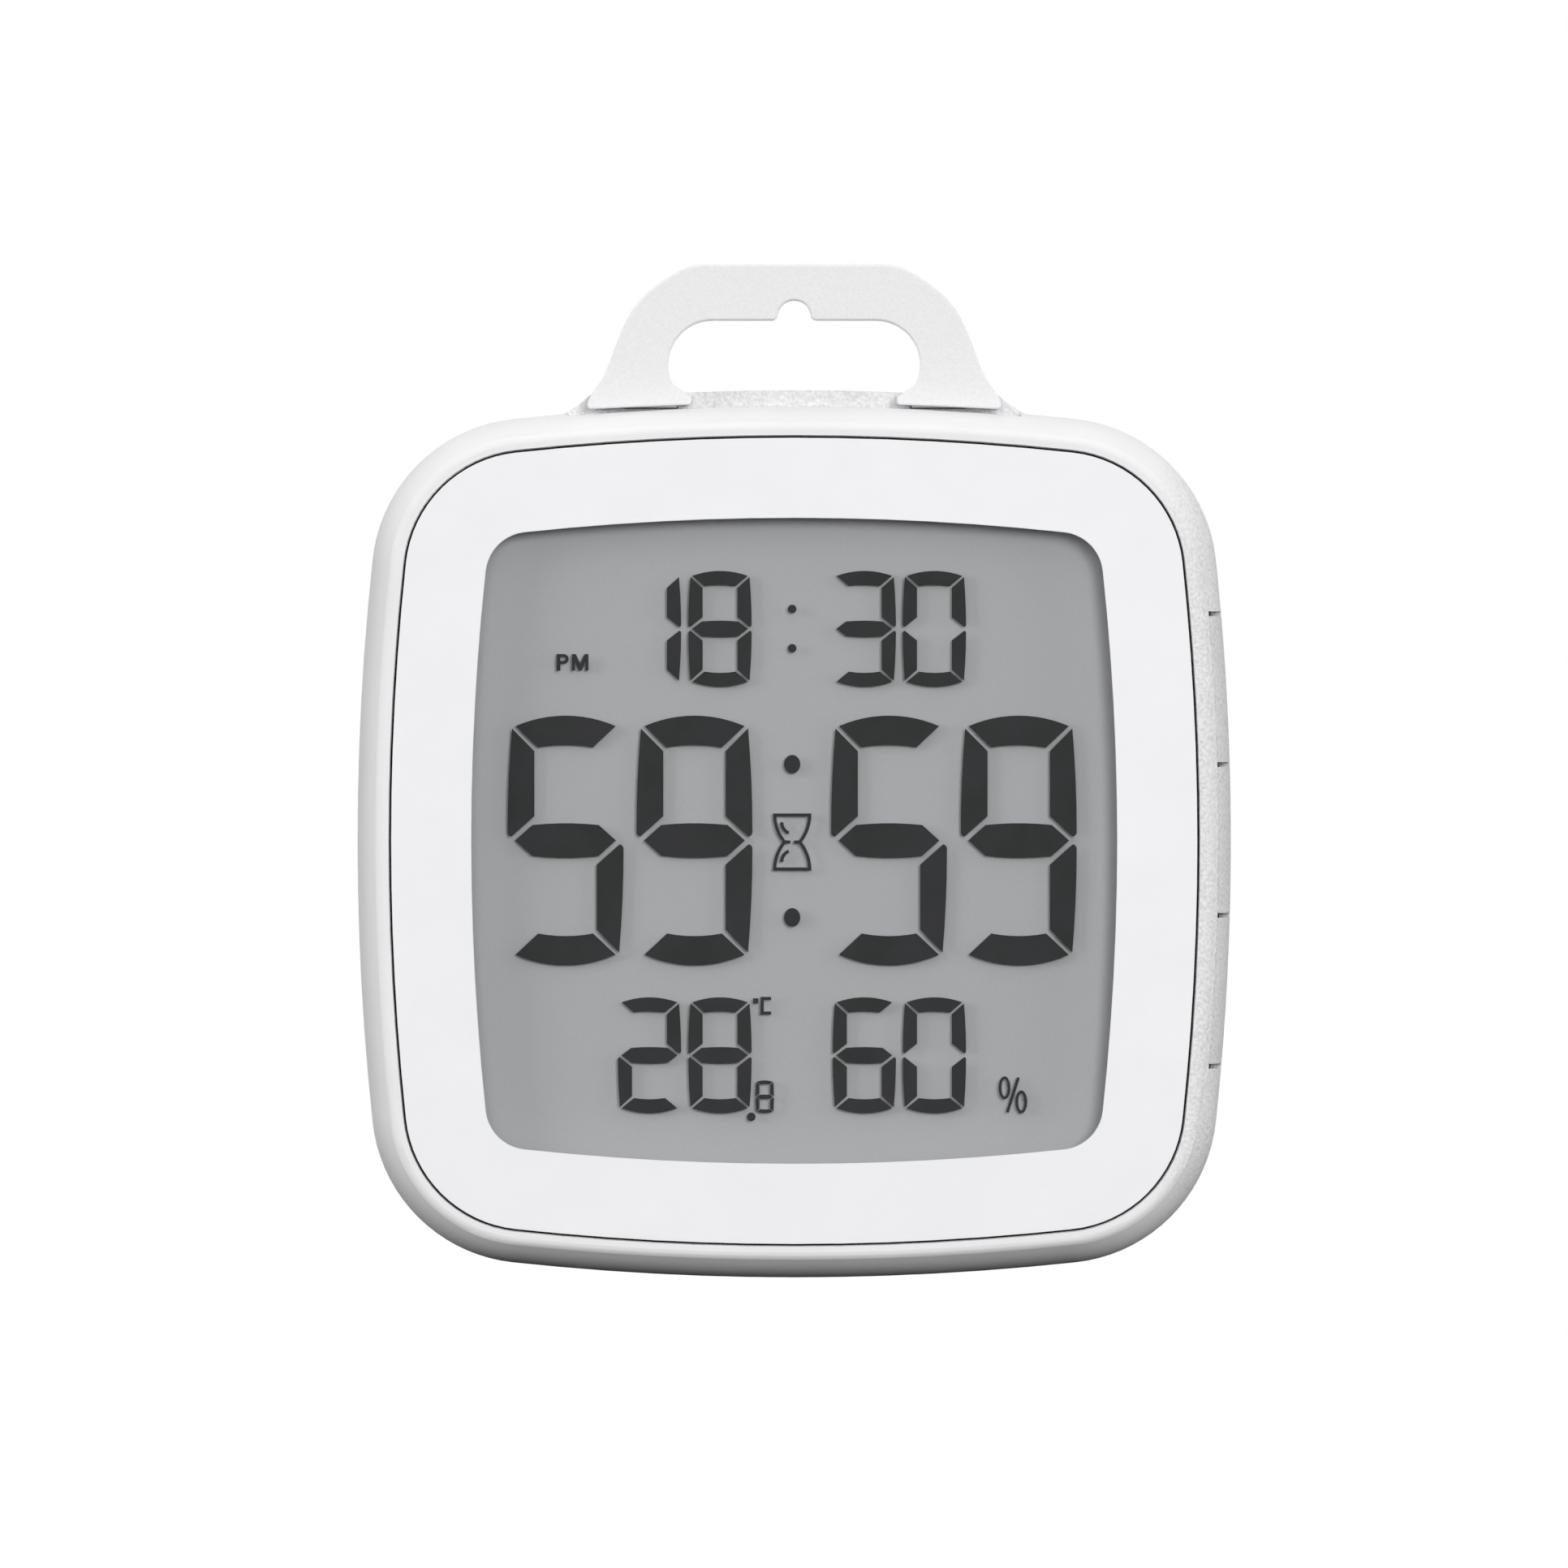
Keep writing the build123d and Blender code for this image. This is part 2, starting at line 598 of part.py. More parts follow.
# Zebra strip: layered rubber between the contacts of the front glass and the board
ZEBRA_FRONT = GLASS_FRONT + GLASS_THICK + FIT
with BuildPart() as zebra_strip:
    with BuildSketch(facing(BOARD_FRONT - FIT)):
        rectangle(-HOLDER_OPENING + PANE_GAP, HOLDER_OPENING - PANE_GAP, ZEBRA_LOW, ZEBRA_HIGH)
    extrude(amount=BOARD_FRONT - FIT - ZEBRA_FRONT)
zebra_strip.part.label = "zebra_strip"
export_step(zebra_strip.part, "parts/zebra_strip.step")

# Stand, battery door, battery box and cells, one inside the other, from the bottom up
STAND_INSET = 13.55
STAND_BOTTOM = STAND_INSET - BODY_HALF
STAND_BAR = 4.4
STAND_BAR_TOP = STAND_BOTTOM + STAND_BAR
STAND_TO_DOOR = 2.0
DOOR_BOTTOM = STAND_BAR_TOP + STAND_TO_DOOR
DOOR_REST = 2.0
BOX_BOTTOM = DOOR_BOTTOM + DOOR_REST
CELL_RADIUS = 5.2
CELL_LENGTH = 44.5
CELL_DEPTH = 9.75
CELL_ROOM = 0.8
CELL_PITCH = 2 * (CELL_RADIUS + CELL_ROOM)
CELL_LOW = BOX_BOTTOM + CELL_PITCH / 2
CELL_HEIGHTS = (CELL_LOW + CELL_PITCH, CELL_LOW)
BOX_TOP = BOX_BOTTOM + 2 * CELL_PITCH
CONTACT_ROOM = 4.75
BOX_HALF = CELL_LENGTH / 2 + CONTACT_ROOM
BOX_WALL = 1.4
BOX_FLOOR = 4.4
BOX_FLOOR_THICK = 1.2
DOOR_SIDE_REST = 1.6
DOOR_HALF = BOX_HALF + DOOR_SIDE_REST
DOOR_GAP = 0.3
DOOR_AXIS_DEPTH = 16.0
DOOR_AXIS_RISE = 1.1
DOOR_AXIS = (DOOR_AXIS_DEPTH, BOX_TOP + DOOR_AXIS_RISE)
DOOR_THICK = 1.6
DOOR_FRONT = DOOR_AXIS[0] - DOOR_THICK / 2
DOOR_LEDGE = 14.5
DOOR_PIN = 0.7
DOOR_PIN_REACH = 1.3
DOOR_PIN_END = DOOR_HALF + DOOR_PIN_REACH
DOOR_TOP_GAP = 0.35
OPENING_TOP = DOOR_AXIS[1] + DOOR_THICK / 2 + DOOR_TOP_GAP
RIB_HALF = 0.5
RIB_SHORTER = 2.25
RIB_LENGTH_HALF = CELL_LENGTH / 2 - RIB_SHORTER
RIB_END = 8.0
STAND_ARM_ROOM = 6.0
STAND_ARM = DOOR_HALF + STAND_ARM_ROOM
STAND_WIDTH = 5.0
STAND_AXIS_DEPTH = 15.7
STAND_AXIS_RISE = 5.9
STAND_AXIS = (STAND_AXIS_DEPTH, DOOR_AXIS[1] + STAND_AXIS_RISE)
STAND_THICK = 2.4
STAND_GAP = 0.4
STAND_FLOOR = STAND_AXIS[0] - STAND_THICK / 2 - DOOR_GAP
STAND_PIN = 0.7
STAND_PIN_INWARD = 4.2
STAND_PIN_START = STAND_ARM - STAND_PIN_INWARD
STAND_PIN_OUTWARD = 4.0
STAND_PIN_END = STAND_ARM + STAND_PIN_OUTWARD
NOTCH_HALF = 8.0
NOTCH_REACH = 3.0
NOTCH_BOTTOM = STAND_BOTTOM - NOTCH_REACH
DOOR_NOTCH_HALF = 6.0
DOOR_NOTCH_DEPTH = 1.4
PAD_SIDE_ROOM = 4.9
PAD_HALF = STAND_ARM + PAD_SIDE_ROOM
PAD_TOP_ROOM = 3.2
PAD_TOP = STAND_AXIS[1] + PAD_TOP_ROOM
PAD_LOW_ROOM = 4.0
PAD_BOTTOM = STAND_BOTTOM - PAD_LOW_ROOM
PAD_FRONT = 12.8

# Circuit board: a plate with two legs round the battery box
BOARD_INSET = 6.35
BOARD_HALF = BODY_HALF - BOARD_INSET
BOARD_TOP_EDGE = 0.3
BOARD_TOP = FRONT_GLASS_TOP + BOARD_TOP_EDGE
BOARD_LOW_EDGE = 0.5
BOARD_BOTTOM = STAND_BAR_TOP - BOARD_LOW_EDGE
BOARD_NOTCH_SIDE = 2.0
BOARD_NOTCH_HALF = BOX_HALF + BOARD_NOTCH_SIDE
BOARD_NOTCH_ROOM = 2.0
BOARD_NOTCH_TOP = BOX_TOP + BOARD_NOTCH_ROOM
BOARD_CORNER = 6.0
LEG_CORNER = 2.0
with BuildPart() as main_board:
    with BuildSketch(facing(BOARD_BACK)) as board_sketch:
        rectangle(-BOARD_HALF, BOARD_HALF, BOARD_BOTTOM, BOARD_TOP)
        fillet(board_sketch.vertices().group_by(Axis.Y)[-1], radius=BOARD_CORNER)
        fillet(board_sketch.vertices().group_by(Axis.Y)[0], radius=LEG_CORNER)
        rectangle(
            -BOARD_NOTCH_HALF,
            BOARD_NOTCH_HALF,
            BOARD_BOTTOM - OVERRUN,
            BOARD_NOTCH_TOP,
            mode=Mode.SUBTRACT,
        )
        with BOARD_SCREWS:
            Circle(BOARD_SHANK + 2 * FIT, mode=Mode.SUBTRACT)
    extrude(amount=BOARD_THICK)
main_board.part.label = "main_board"
export_step(main_board.part, "parts/main_board.step")

# Clock chip under its epoxy drop, quartz crystal and climate sensor, on the back of the board
CHIP_AT = (-12.0, 20.0)
CHIP_RADIUS = 6.0
CHIP_HEIGHT = 1.4
CHIP_ROUND = 1.0
with BuildPart() as clock_chip:
    with BuildSketch(facing(BOARD_BACK + FIT + CHIP_HEIGHT)):
        with Locations(CHIP_AT):
            Circle(CHIP_RADIUS)
    extrude(amount=CHIP_HEIGHT)
    fillet(clock_chip.edges().group_by(Axis.Y)[-1], radius=CHIP_ROUND)
clock_chip.part.label = "clock_chip"
export_step(clock_chip.part, "parts/clock_chip.step")

CRYSTAL_RADIUS = 1.0
CRYSTAL_LENGTH = 6.0
CRYSTAL_START = 3.0
CRYSTAL_HEIGHT = 20.0
with BuildPart() as quartz_crystal:
    with BuildSketch(across(CRYSTAL_START)):
        with Locations((BOARD_BACK + FIT + CRYSTAL_RADIUS, CRYSTAL_HEIGHT)):
            Circle(CRYSTAL_RADIUS)
    extrude(amount=CRYSTAL_LENGTH)
quartz_crystal.part.label = "quartz_crystal"
export_step(quartz_crystal.part, "parts/quartz_crystal.step")

SENSOR_INSET = 11.95
SENSOR_LEVEL = -20.0
SENSOR_AT = (SENSOR_INSET - BODY_HALF, SENSOR_LEVEL)
SENSOR_SIZE = 2.5
SENSOR_HEIGHT = 0.9
SENSOR_PORT = 0.5
with BuildPart() as climate_sensor:
    with BuildSketch(facing(BOARD_BACK + FIT + SENSOR_HEIGHT)):
        with Locations(SENSOR_AT):
            Rectangle(SENSOR_SIZE, SENSOR_SIZE)
    extrude(amount=SENSOR_HEIGHT)
    with BuildSketch(facing(BOARD_BACK + FIT + SENSOR_HEIGHT)):
        with Locations(SENSOR_AT):
            Circle(SENSOR_PORT)
    extrude(amount=SENSOR_HEIGHT / 2, mode=Mode.SUBTRACT)
climate_sensor.part.label = "climate_sensor"
export_step(climate_sensor.part, "parts/climate_sensor.step")

# Side switches lying on the front of the board, and their plungers
SWITCH_INNER_INSET = 10.35
SWITCH_LEFT = BODY_HALF - SWITCH_INNER_INSET
SWITCH_OUTER_INSET = 7.15
SWITCH_RIGHT = BODY_HALF - SWITCH_OUTER_INSET
SWITCH_FRONT = -1.0
SWITCH_HALF = 3.0
PLUNGER_RADIUS = 1.2
PLUNGER_CLEAR = 0.2
PLUNGER_INSET = 9.05
PLUNGER_START = BODY_HALF - PLUNGER_INSET
CORE_FACE_INSET = 5.65
CORE_FACE = BODY_HALF - CORE_FACE_INSET
PLUNGER_DEPTH = (SWITCH_FRONT + BOARD_FRONT) / 2


def side_switch(height):
    """Switch body with a bore for its plunger."""
    with BuildPart() as switch:
        with BuildSketch(facing(BOARD_FRONT - FIT)):
            rectangle(SWITCH_LEFT, SWITCH_RIGHT, height - SWITCH_HALF, height + SWITCH_HALF)
        extrude(amount=BOARD_FRONT - FIT - SWITCH_FRONT)
        with BuildSketch(across(PLUNGER_START - KEY_TRAVEL - PLUNGER_CLEAR)):
            with Locations((PLUNGER_DEPTH, height)):
                Circle(PLUNGER_RADIUS + PLUNGER_CLEAR)
        extrude(amount=SWITCH_RIGHT - SWITCH_LEFT, mode=Mode.SUBTRACT)
    return switch.part


def switch_plunger(height):
    """Round plunger between the switch and the key."""
    with BuildPart() as plunger:
        with BuildSketch(across(PLUNGER_START)):
            with Locations((PLUNGER_DEPTH, height)):
                Circle(PLUNGER_RADIUS)
        extrude(amount=CORE_FACE - FIT - PLUNGER_START)
    return plunger.part


# Side keys: skin of the barrel between two slits, with a core and a keeper behind
CORE_REACH_INSET = 2.35
CORE_REACH = BODY_HALF - CORE_REACH_INSET
CORE_FRONT = -2.6
CORE_BACK = 1.5
CORE_HALF = 5.0
KEEPER_THICK = 1.7
KEEPER_BACK = 4.4
KEY_ANGLE = asin((SEAM_FRONT - KEY_FRONT + KEY_FRONT_GAP) / BARREL_RADIUS)


def side_key(height):
    """One key, flush with the barrel."""
    half = (KEY_PITCH - KEY_SLIT) / 2
    with BuildPart() as key:
        with BuildSketch(RIM_SECTION):
            with BuildLine():
                ThreePointArc(
                    inward(*barrel_point(0)),
                    inward(*barrel_point(KEY_ANGLE / 2)),
                    inward(*barrel_point(KEY_ANGLE)),
                )
                Polyline(
                    inward(*barrel_point(KEY_ANGLE)),
                    inward(KEY_THICK, barrel_point(KEY_ANGLE)[1]),
                    inward(KEY_THICK, SEAM_FRONT),
                    inward(0, SEAM_FRONT),
                )
            make_face()
        sweep(path=RIM_PATH)
        with BuildSketch(facing(KEY_BACK)):
            rectangle(KEY_OPENING_X, BODY_HALF + OVERRUN, height - half, height + half)
        extrude(amount=KEY_BACK - KEY_FRONT, mode=Mode.INTERSECT)
        with BuildSketch(facing(CORE_BACK)):
            rectangle(CORE_FACE, CORE_REACH, height - CORE_HALF, height + CORE_HALF)
        extrude(amount=CORE_BACK - CORE_FRONT)
        with BuildSketch(facing(KEEPER_BACK)):
            rectangle(CORE_FACE, CORE_FACE + KEEPER_THICK, height - CORE_HALF, height + CORE_HALF)
        extrude(amount=KEEPER_BACK - CORE_FRONT)
    return key.part


for number, height in enumerate(KEY_HEIGHTS, start=1):
    for name, piece in (
        (f"side_key_{number}", side_key(height)),
        (f"side_switch_{number}", side_switch(height)),
        (f"switch_plunger_{number}", switch_plunger(height)),
    ):
        piece.label = name
        export_step(piece, f"parts/{name}.step")

# Screws: a pan head and a plain shank
CASE_HEAD = 2.1
CASE_HEAD_FRONT = 12.05
CASE_HEAD_THICK = 1.5
DRIVE_DEPTH = 0.7
DRIVE_ARM_SHARE = 1.2
DRIVE_WIDTH_SHARE = 0.28


def screws(places, head, head_front, head_thick, shank, tip):
    """A group of equal screws along Y with a cross recess."""
    with BuildPart() as group:
        with BuildSketch(facing(head_front + head_thick)):
            with places:
                Circle(head)
        extrude(amount=head_thick)
        with BuildSketch(facing(head_front)):
            with places:
                Circle(shank)
        extrude(amount=head_front - tip)
        with BuildSketch(facing(head_front + head_thick)):
            with places:
                Rectangle(head * DRIVE_ARM_SHARE, head * DRIVE_WIDTH_SHARE)
                Rectangle(head * DRIVE_WIDTH_SHARE, head * DRIVE_ARM_SHARE)
        extrude(amount=DRIVE_DEPTH, mode=Mode.SUBTRACT)
    return group.part


case_screws = screws(
    CASE_SCREWS, CASE_HEAD, CASE_HEAD_FRONT, CASE_HEAD_THICK, CASE_SHANK, CASE_SCREW_TIP
)
case_screws.label = "case_screws"
export_step(case_screws, "parts/case_screws.step")

BOARD_HEAD = 1.7
BOARD_HEAD_THICK = 1.1
board_screws = screws(
    BOARD_SCREWS, BOARD_HEAD, BOARD_BACK + FIT, BOARD_HEAD_THICK, BOARD_SHANK, BOARD_SCREW_TIP
)
board_screws.label = "board_screws"
export_step(board_screws, "parts/board_screws.step")

# Seal between the two housings
SEAL_INSET = 1.55
with BuildPart() as housing_seal:
    with BuildSketch(facing(RABBET_END - FIT)):
        outline_face(SEAL_INSET)
        outline_face(WALL - FIT, mode=Mode.SUBTRACT)
    extrude(amount=RABBET_END - TONGUE_END - 2 * FIT)
housing_seal.part.label = "housing_seal"
export_step(housing_seal.part, "parts/housing_seal.step")

# Suction cups, buzzer, vents
CUP_INSET = 22.95
CUP_LEVEL = 24.0
CUP_AT = (BODY_HALF - CUP_INSET, CUP_LEVEL)
CUP_NECK = 1.8
CUP_NECK_CLEAR = 0.15
BUZZER_AT = (0, 22.0)
BUZZER_RADIUS = 9.0
BUZZER_RING_GAP = 0.3
BUZZER_RING_WALL = 1.2
BUZZER_RING_DEPTH = 2.3
SOUND_HOLE = 0.8
SOUND_RING = 3.5
SOUND_HOLES = 6
VENT_COUNT = 5
VENT_PITCH = 2.6
VENT_WIDTH = 0.9
VENT_FRONT = 6.0
VENT_BACK = 12.0
VENT_REACH_INSET = 9.95
VENT_REACH = BODY_HALF - VENT_REACH_INSET

# Rear side surface: a long arc that leans in, then a round back edge
SIDE_END = 14.0
SIDE_LEAN = radians(16)
SIDE_RADIUS = (SIDE_END - SEAM_BACK) / sin(SIDE_LEAN)
BACK_ROUND = (BACK - SIDE_END) / (1 - sin(SIDE_LEAN))
PLATE_INSET = 12.5


def side_point(angle):
    """Point of the rear side, by its angle from the seam."""
    return (SIDE_RADIUS * (1 - cos(angle)), SEAM_BACK + SIDE_RADIUS * sin(angle))


def back_point(angle):
    """Point of the round back edge, by its angle from the side."""
    start, depth = side_point(SIDE_LEAN)
    centre = (start + BACK_ROUND * cos(SIDE_LEAN), depth - BACK_ROUND * sin(SIDE_LEAN))
    return (centre[0] - BACK_ROUND * cos(angle), centre[1] + BACK_ROUND * sin(angle))


# Shoulder behind the handle, and the pockets for the handle tongues
BOW_AXIS = Axis((0, 0, BODY_HALF - BOW_RADIUS - BODY_DROP), (0, 1, 0))
SHOULDER_RISE = 1.7
SHOULDER_TOP_HALF = 24.4
SHOULDER_EDGE_HALF = 25.2
SHOULDER_EDGE_RISE = 1.15
SHOULDER_EDGE = (SHOULDER_EDGE_HALF, BODY_HALF + SHOULDER_EDGE_RISE)
SHOULDER_BLEND_HALF = 26.5
SHOULDER_BLEND = (SHOULDER_BLEND_HALF, BODY_HALF)
SHOULDER_HALF = 28.6
SHOULDER_SINK = 7.95
SHOULDER_ROOT = BODY_HALF - SHOULDER_SINK
SHOULDER_ROOT_INSET = 1.25
SHOULDER_SKIRT = 2.4
SHOULDER_SKIRT_DROP = 2.2
SHOULDER_BACK = 13.0
SHOULDER_RAMP_START = 5.5
shoulder_lean = asin((SHOULDER_BACK - SEAM_BACK) / SIDE_RADIUS)
shoulder_end = BODY_HALF - side_point(shoulder_lean)[0] + FIT
ramp_length = SHOULDER_BACK - SHOULDER_RAMP_START
ramp_drop = BODY_HALF + SHOULDER_RISE - shoulder_end
RAMP_RADIUS = (ramp_length**2 + ramp_drop**2) / (2 * ramp_drop)
RAMP_ANGLE = asin(ramp_length / RAMP_RADIUS)
BOW_SWEEP = degrees(atan2(SHOULDER_HALF + SHOULDER_SKIRT + OVERRUN, BOW_RADIUS))
TONGUE_LEFT = 14.5
TONGUE_RIGHT = 21.0
TONGUE_HALF_THICK = 0.45
TONGUE_LOW = BODY_HALF - TONGUE_HALF_THICK
TONGUE_HIGH = BODY_HALF + TONGUE_HALF_THICK
TONGUE_BACK = 8.0
TONGUE_GAP = 0.12
HANDLE_SCREW_X = (TONGUE_LEFT + TONGUE_RIGHT) / 2
HANDLE_SCREW_Y = 5.0
HANDLE_SHANK = 0.6
HANDLE_HEAD = 1.3
HANDLE_HEAD_INSET = 4.55
HANDLE_HEAD_THICK = 1.1
HANDLE_SCREW_RISE = 0.25
HANDLE_HEAD_LOW = BODY_HALF - HANDLE_HEAD_INSET
HANDLE_HEAD_HIGH = HANDLE_HEAD_LOW + HANDLE_HEAD_THICK
HANDLE_SCREW_TOP = BODY_HALF + HANDLE_SCREW_RISE
FLOOR_UP = Plane((0, 0, HANDLE_HEAD_LOW - BODY_DROP), x_dir=(1, 0, 0), z_dir=(0, 0, 1))
REAR_BOSS = 2.9
BORE_CLEAR = 0.25
BORE_WIDE = 2.4


def ramp_point(angle):
    """Point of the round at the back end of the shoulder, by its angle from the top."""
    centre = BODY_HALF + SHOULDER_RISE - RAMP_RADIUS
    return (SHOULDER_RAMP_START + RAMP_RADIUS * sin(angle), centre + RAMP_RADIUS * cos(angle))


with BuildPart() as rear_housing:
    with BuildSketch(RIM_SECTION):
        with BuildLine():
            ThreePointArc(
                inward(*side_point(0)),
                inward(*side_point(SIDE_LEAN / 2)),
                inward(*side_point(SIDE_LEAN)),
            )
            ThreePointArc(
                inward(*back_point(SIDE_LEAN)),
                inward(*back_point((SIDE_LEAN + pi / 2) / 2)),
                inward(*back_point(pi / 2)),
            )
            Polyline(
                inward(*back_point(pi / 2)),
                inward(PLATE_INSET + OVERRUN, BACK),
                inward(PLATE_INSET + OVERRUN, INNER_BACK),
                inward(back_point(pi / 2)[0], INNER_BACK),
                inward(WALL + side_point(SIDE_LEAN)[0], SIDE_END - OVERRUN),
                inward(WALL, RABBET_END),
                inward(TONGUE_INSET - 3 * FIT, RABBET_END),
                inward(TONGUE_INSET - 3 * FIT, SEAM_BACK),
                inward(0, SEAM_BACK),
            )
        make_face()
    sweep(path=RIM_PATH)
    with BuildSketch(facing(BACK)):
        outline_face(PLATE_INSET)
    extrude(amount=BACK - INNER_BACK)
    # Shoulder
    with BuildSketch(facing(SHOULDER_BACK)):
        with BuildLine():
            edge_x, edge_z = SHOULDER_EDGE
            blend_x, blend_z = SHOULDER_BLEND
            top_z = bow_height(SHOULDER_TOP_HALF) + SHOULDER_RISE
            foot_z = bow_height(SHOULDER_HALF)
            ThreePointArc(
                (-SHOULDER_TOP_HALF, top_z),
                (0, BODY_HALF + SHOULDER_RISE),
                (SHOULDER_TOP_HALF, top_z),
            )
            Line((SHOULDER_TOP_HALF, top_z), (edge_x, edge_z))
            ThreePointArc((edge_x, edge_z), (blend_x, blend_z), (SHOULDER_HALF, foot_z))
            skirt_x, skirt_z = SHOULDER_HALF + SHOULDER_SKIRT, foot_z - SHOULDER_SKIRT_DROP
            Polyline(
                (SHOULDER_HALF, foot_z),
                (skirt_x, skirt_z),
                (skirt_x, SHOULDER_ROOT),
                (-skirt_x, SHOULDER_ROOT),
                (-skirt_x, skirt_z),
                (-SHOULDER_HALF, foot_z),
            )
            ThreePointArc((-SHOULDER_HALF, foot_z), (-blend_x, blend_z), (-edge_x, edge_z))
            Line((-edge_x, edge_z), (-SHOULDER_TOP_HALF, top_z))
        make_face()
        outline_face(SHOULDER_ROOT_INSET, mode=Mode.SUBTRACT)
    extrude(amount=SHOULDER_BACK - SEAM_BACK)
    # Its back end slopes down to the housing in a long round that follows the bow
    for side in (-1, 1):
        with BuildSketch(across(0)):
            with BuildLine():
                ThreePointArc(ramp_point(0), ramp_point(RAMP_ANGLE / 2), ramp_point(RAMP_ANGLE))
                Polyline(
                    ramp_point(RAMP_ANGLE),
                    (SHOULDER_BACK + OVERRUN, shoulder_end),
                    (SHOULDER_BACK + OVERRUN, BODY_HALF + SHOULDER_RISE + OVERRUN),
                    (SHOULDER_RAMP_START, BODY_HALF + SHOULDER_RISE + OVERRUN),
                    ramp_point(0),
                )
            make_face()
        revolve(axis=BOW_AXIS, revolution_arc=side * BOW_SWEEP, mode=Mode.SUBTRACT)
    # Battery box, pad for the stand, screw bosses and buzzer ring
    with BuildSketch(facing(INNER_BACK + FIT)):
        rectangle(
            -BOX_HALF - BOX_WALL, BOX_HALF + BOX_WALL, BOX_BOTTOM - BOX_WALL, BOX_TOP + BOX_WALL
        )
    extrude(amount=INNER_BACK + FIT - BOX_FLOOR + BOX_FLOOR_THICK)
    with BuildSketch(facing(INNER_BACK + FIT)):
        rectangle(-PAD_HALF, PAD_HALF, PAD_BOTTOM, PAD_TOP)
    extrude(amount=INNER_BACK + FIT - PAD_FRONT)
    with BuildSketch(facing(INNER_BACK + FIT)):
        with CASE_SCREWS:
            Circle(REAR_BOSS)
    extrude(amount=INNER_BACK + FIT - FRONT_BOSS_END - 3 * FIT)
    with BuildSketch(facing(INNER_BACK + FIT)):
        with Locations(BUZZER_AT):
            Circle(BUZZER_RADIUS + BUZZER_RING_GAP + BUZZER_RING_WALL)
            Circle(BUZZER_RADIUS + BUZZER_RING_GAP, mode=Mode.SUBTRACT)
    extrude(amount=BUZZER_RING_DEPTH)
    # Hollows of the battery box, door and stand
    with BuildSketch(facing(BACK + OVERRUN)):
        rectangle(-BOX_HALF, BOX_HALF, BOX_BOTTOM, BOX_TOP)
    extrude(amount=BACK + OVERRUN - BOX_FLOOR, mode=Mode.SUBTRACT)
    with BuildSketch(facing(BACK + OVERRUN)):
        rectangle(-DOOR_HALF - DOOR_GAP, DOOR_HALF + DOOR_GAP, DOOR_BOTTOM - DOOR_GAP, OPENING_TOP)
    extrude(amount=BACK + OVERRUN - DOOR_LEDGE, mode=Mode.SUBTRACT)
    with BuildSketch(facing(BACK + OVERRUN)):
        recess_out = STAND_ARM + STAND_WIDTH / 2 + STAND_GAP
        recess_in = STAND_ARM - STAND_WIDTH / 2 - STAND_GAP
        recess_top = STAND_AXIS[1] + STAND_THICK / 2 + STAND_GAP
        rectangle(-recess_out, -recess_in, STAND_BOTTOM - STAND_GAP, recess_top)
        rectangle(recess_in, recess_out, STAND_BOTTOM - STAND_GAP, recess_top)
        rectangle(-recess_out, recess_out, STAND_BOTTOM - STAND_GAP, STAND_BAR_TOP + STAND_GAP)
        rectangle(-NOTCH_HALF, NOTCH_HALF, NOTCH_BOTTOM, STAND_BOTTOM)
    extrude(amount=BACK + OVERRUN - STAND_FLOOR, mode=Mode.SUBTRACT)
    with BuildSketch(facing(BACK + OVERRUN)):
        rectangle(-DOOR_NOTCH_HALF, DOOR_NOTCH_HALF, STAND_BAR_TOP, DOOR_BOTTOM)
    extrude(amount=OVERRUN + DOOR_NOTCH_DEPTH, mode=Mode.SUBTRACT)
    # Rib between the cells
    with BuildSketch(facing(RIB_END)):
        rib_z = sum(CELL_HEIGHTS) / 2
        rectangle(-RIB_LENGTH_HALF, RIB_LENGTH_HALF, rib_z - RIB_HALF, rib_z + RIB_HALF)
    extrude(amount=RIB_END - BOX_FLOOR + FIT)
    # Screw bores
    with BuildSketch(facing(BACK + OVERRUN)):
        with CASE_SCREWS:
            Circle(CASE_SHANK + BORE_CLEAR)
    extrude(amount=BACK + OVERRUN, mode=Mode.SUBTRACT)
    with BuildSketch(facing(BACK + OVERRUN)):
        with CASE_SCREWS:
            Circle(BORE_WIDE)
    extrude(amount=BACK + OVERRUN - CASE_HEAD_FRONT + FIT, mode=Mode.SUBTRACT)
    # Pivot bores of door and stand
    for side in (-1, 1):
        with BuildSketch(across(side * DOOR_HALF)):
            with Locations(DOOR_AXIS):
                Circle(DOOR_PIN + 3 * FIT)
        extrude(amount=side * (DOOR_PIN_END - DOOR_HALF + 2 * FIT), mode=Mode.SUBTRACT)
        with BuildSketch(across(side * (STAND_PIN_START - FIT))):
            with Locations(STAND_AXIS):
                Circle(STAND_PIN + FIT)
        extrude(amount=side * (STAND_PIN_END - STAND_PIN_START + 2 * FIT), mode=Mode.SUBTRACT)
    # Cup holes, sound holes, side vents
    with BuildSketch(facing(BACK + OVERRUN)):
        with Locations(CUP_AT, (-CUP_AT[0], CUP_AT[1])):
            Circle(CUP_NECK + CUP_NECK_CLEAR)
        with Locations(BUZZER_AT):
            Circle(SOUND_HOLE)
            with PolarLocations(SOUND_RING, SOUND_HOLES):
                Circle(SOUND_HOLE)
    extrude(amount=BACK + OVERRUN - INNER_BACK + OVERRUN, mode=Mode.SUBTRACT)
    with BuildSketch(across(-BODY_HALF - OVERRUN)):
        with Locations(((VENT_FRONT + VENT_BACK) / 2, SENSOR_AT[1])):
            with GridLocations(0, VENT_PITCH, 1, VENT_COUNT):
                Rectangle(VENT_BACK - VENT_FRONT, VENT_WIDTH)
    extrude(amount=BODY_HALF + OVERRUN - VENT_REACH, mode=Mode.SUBTRACT)
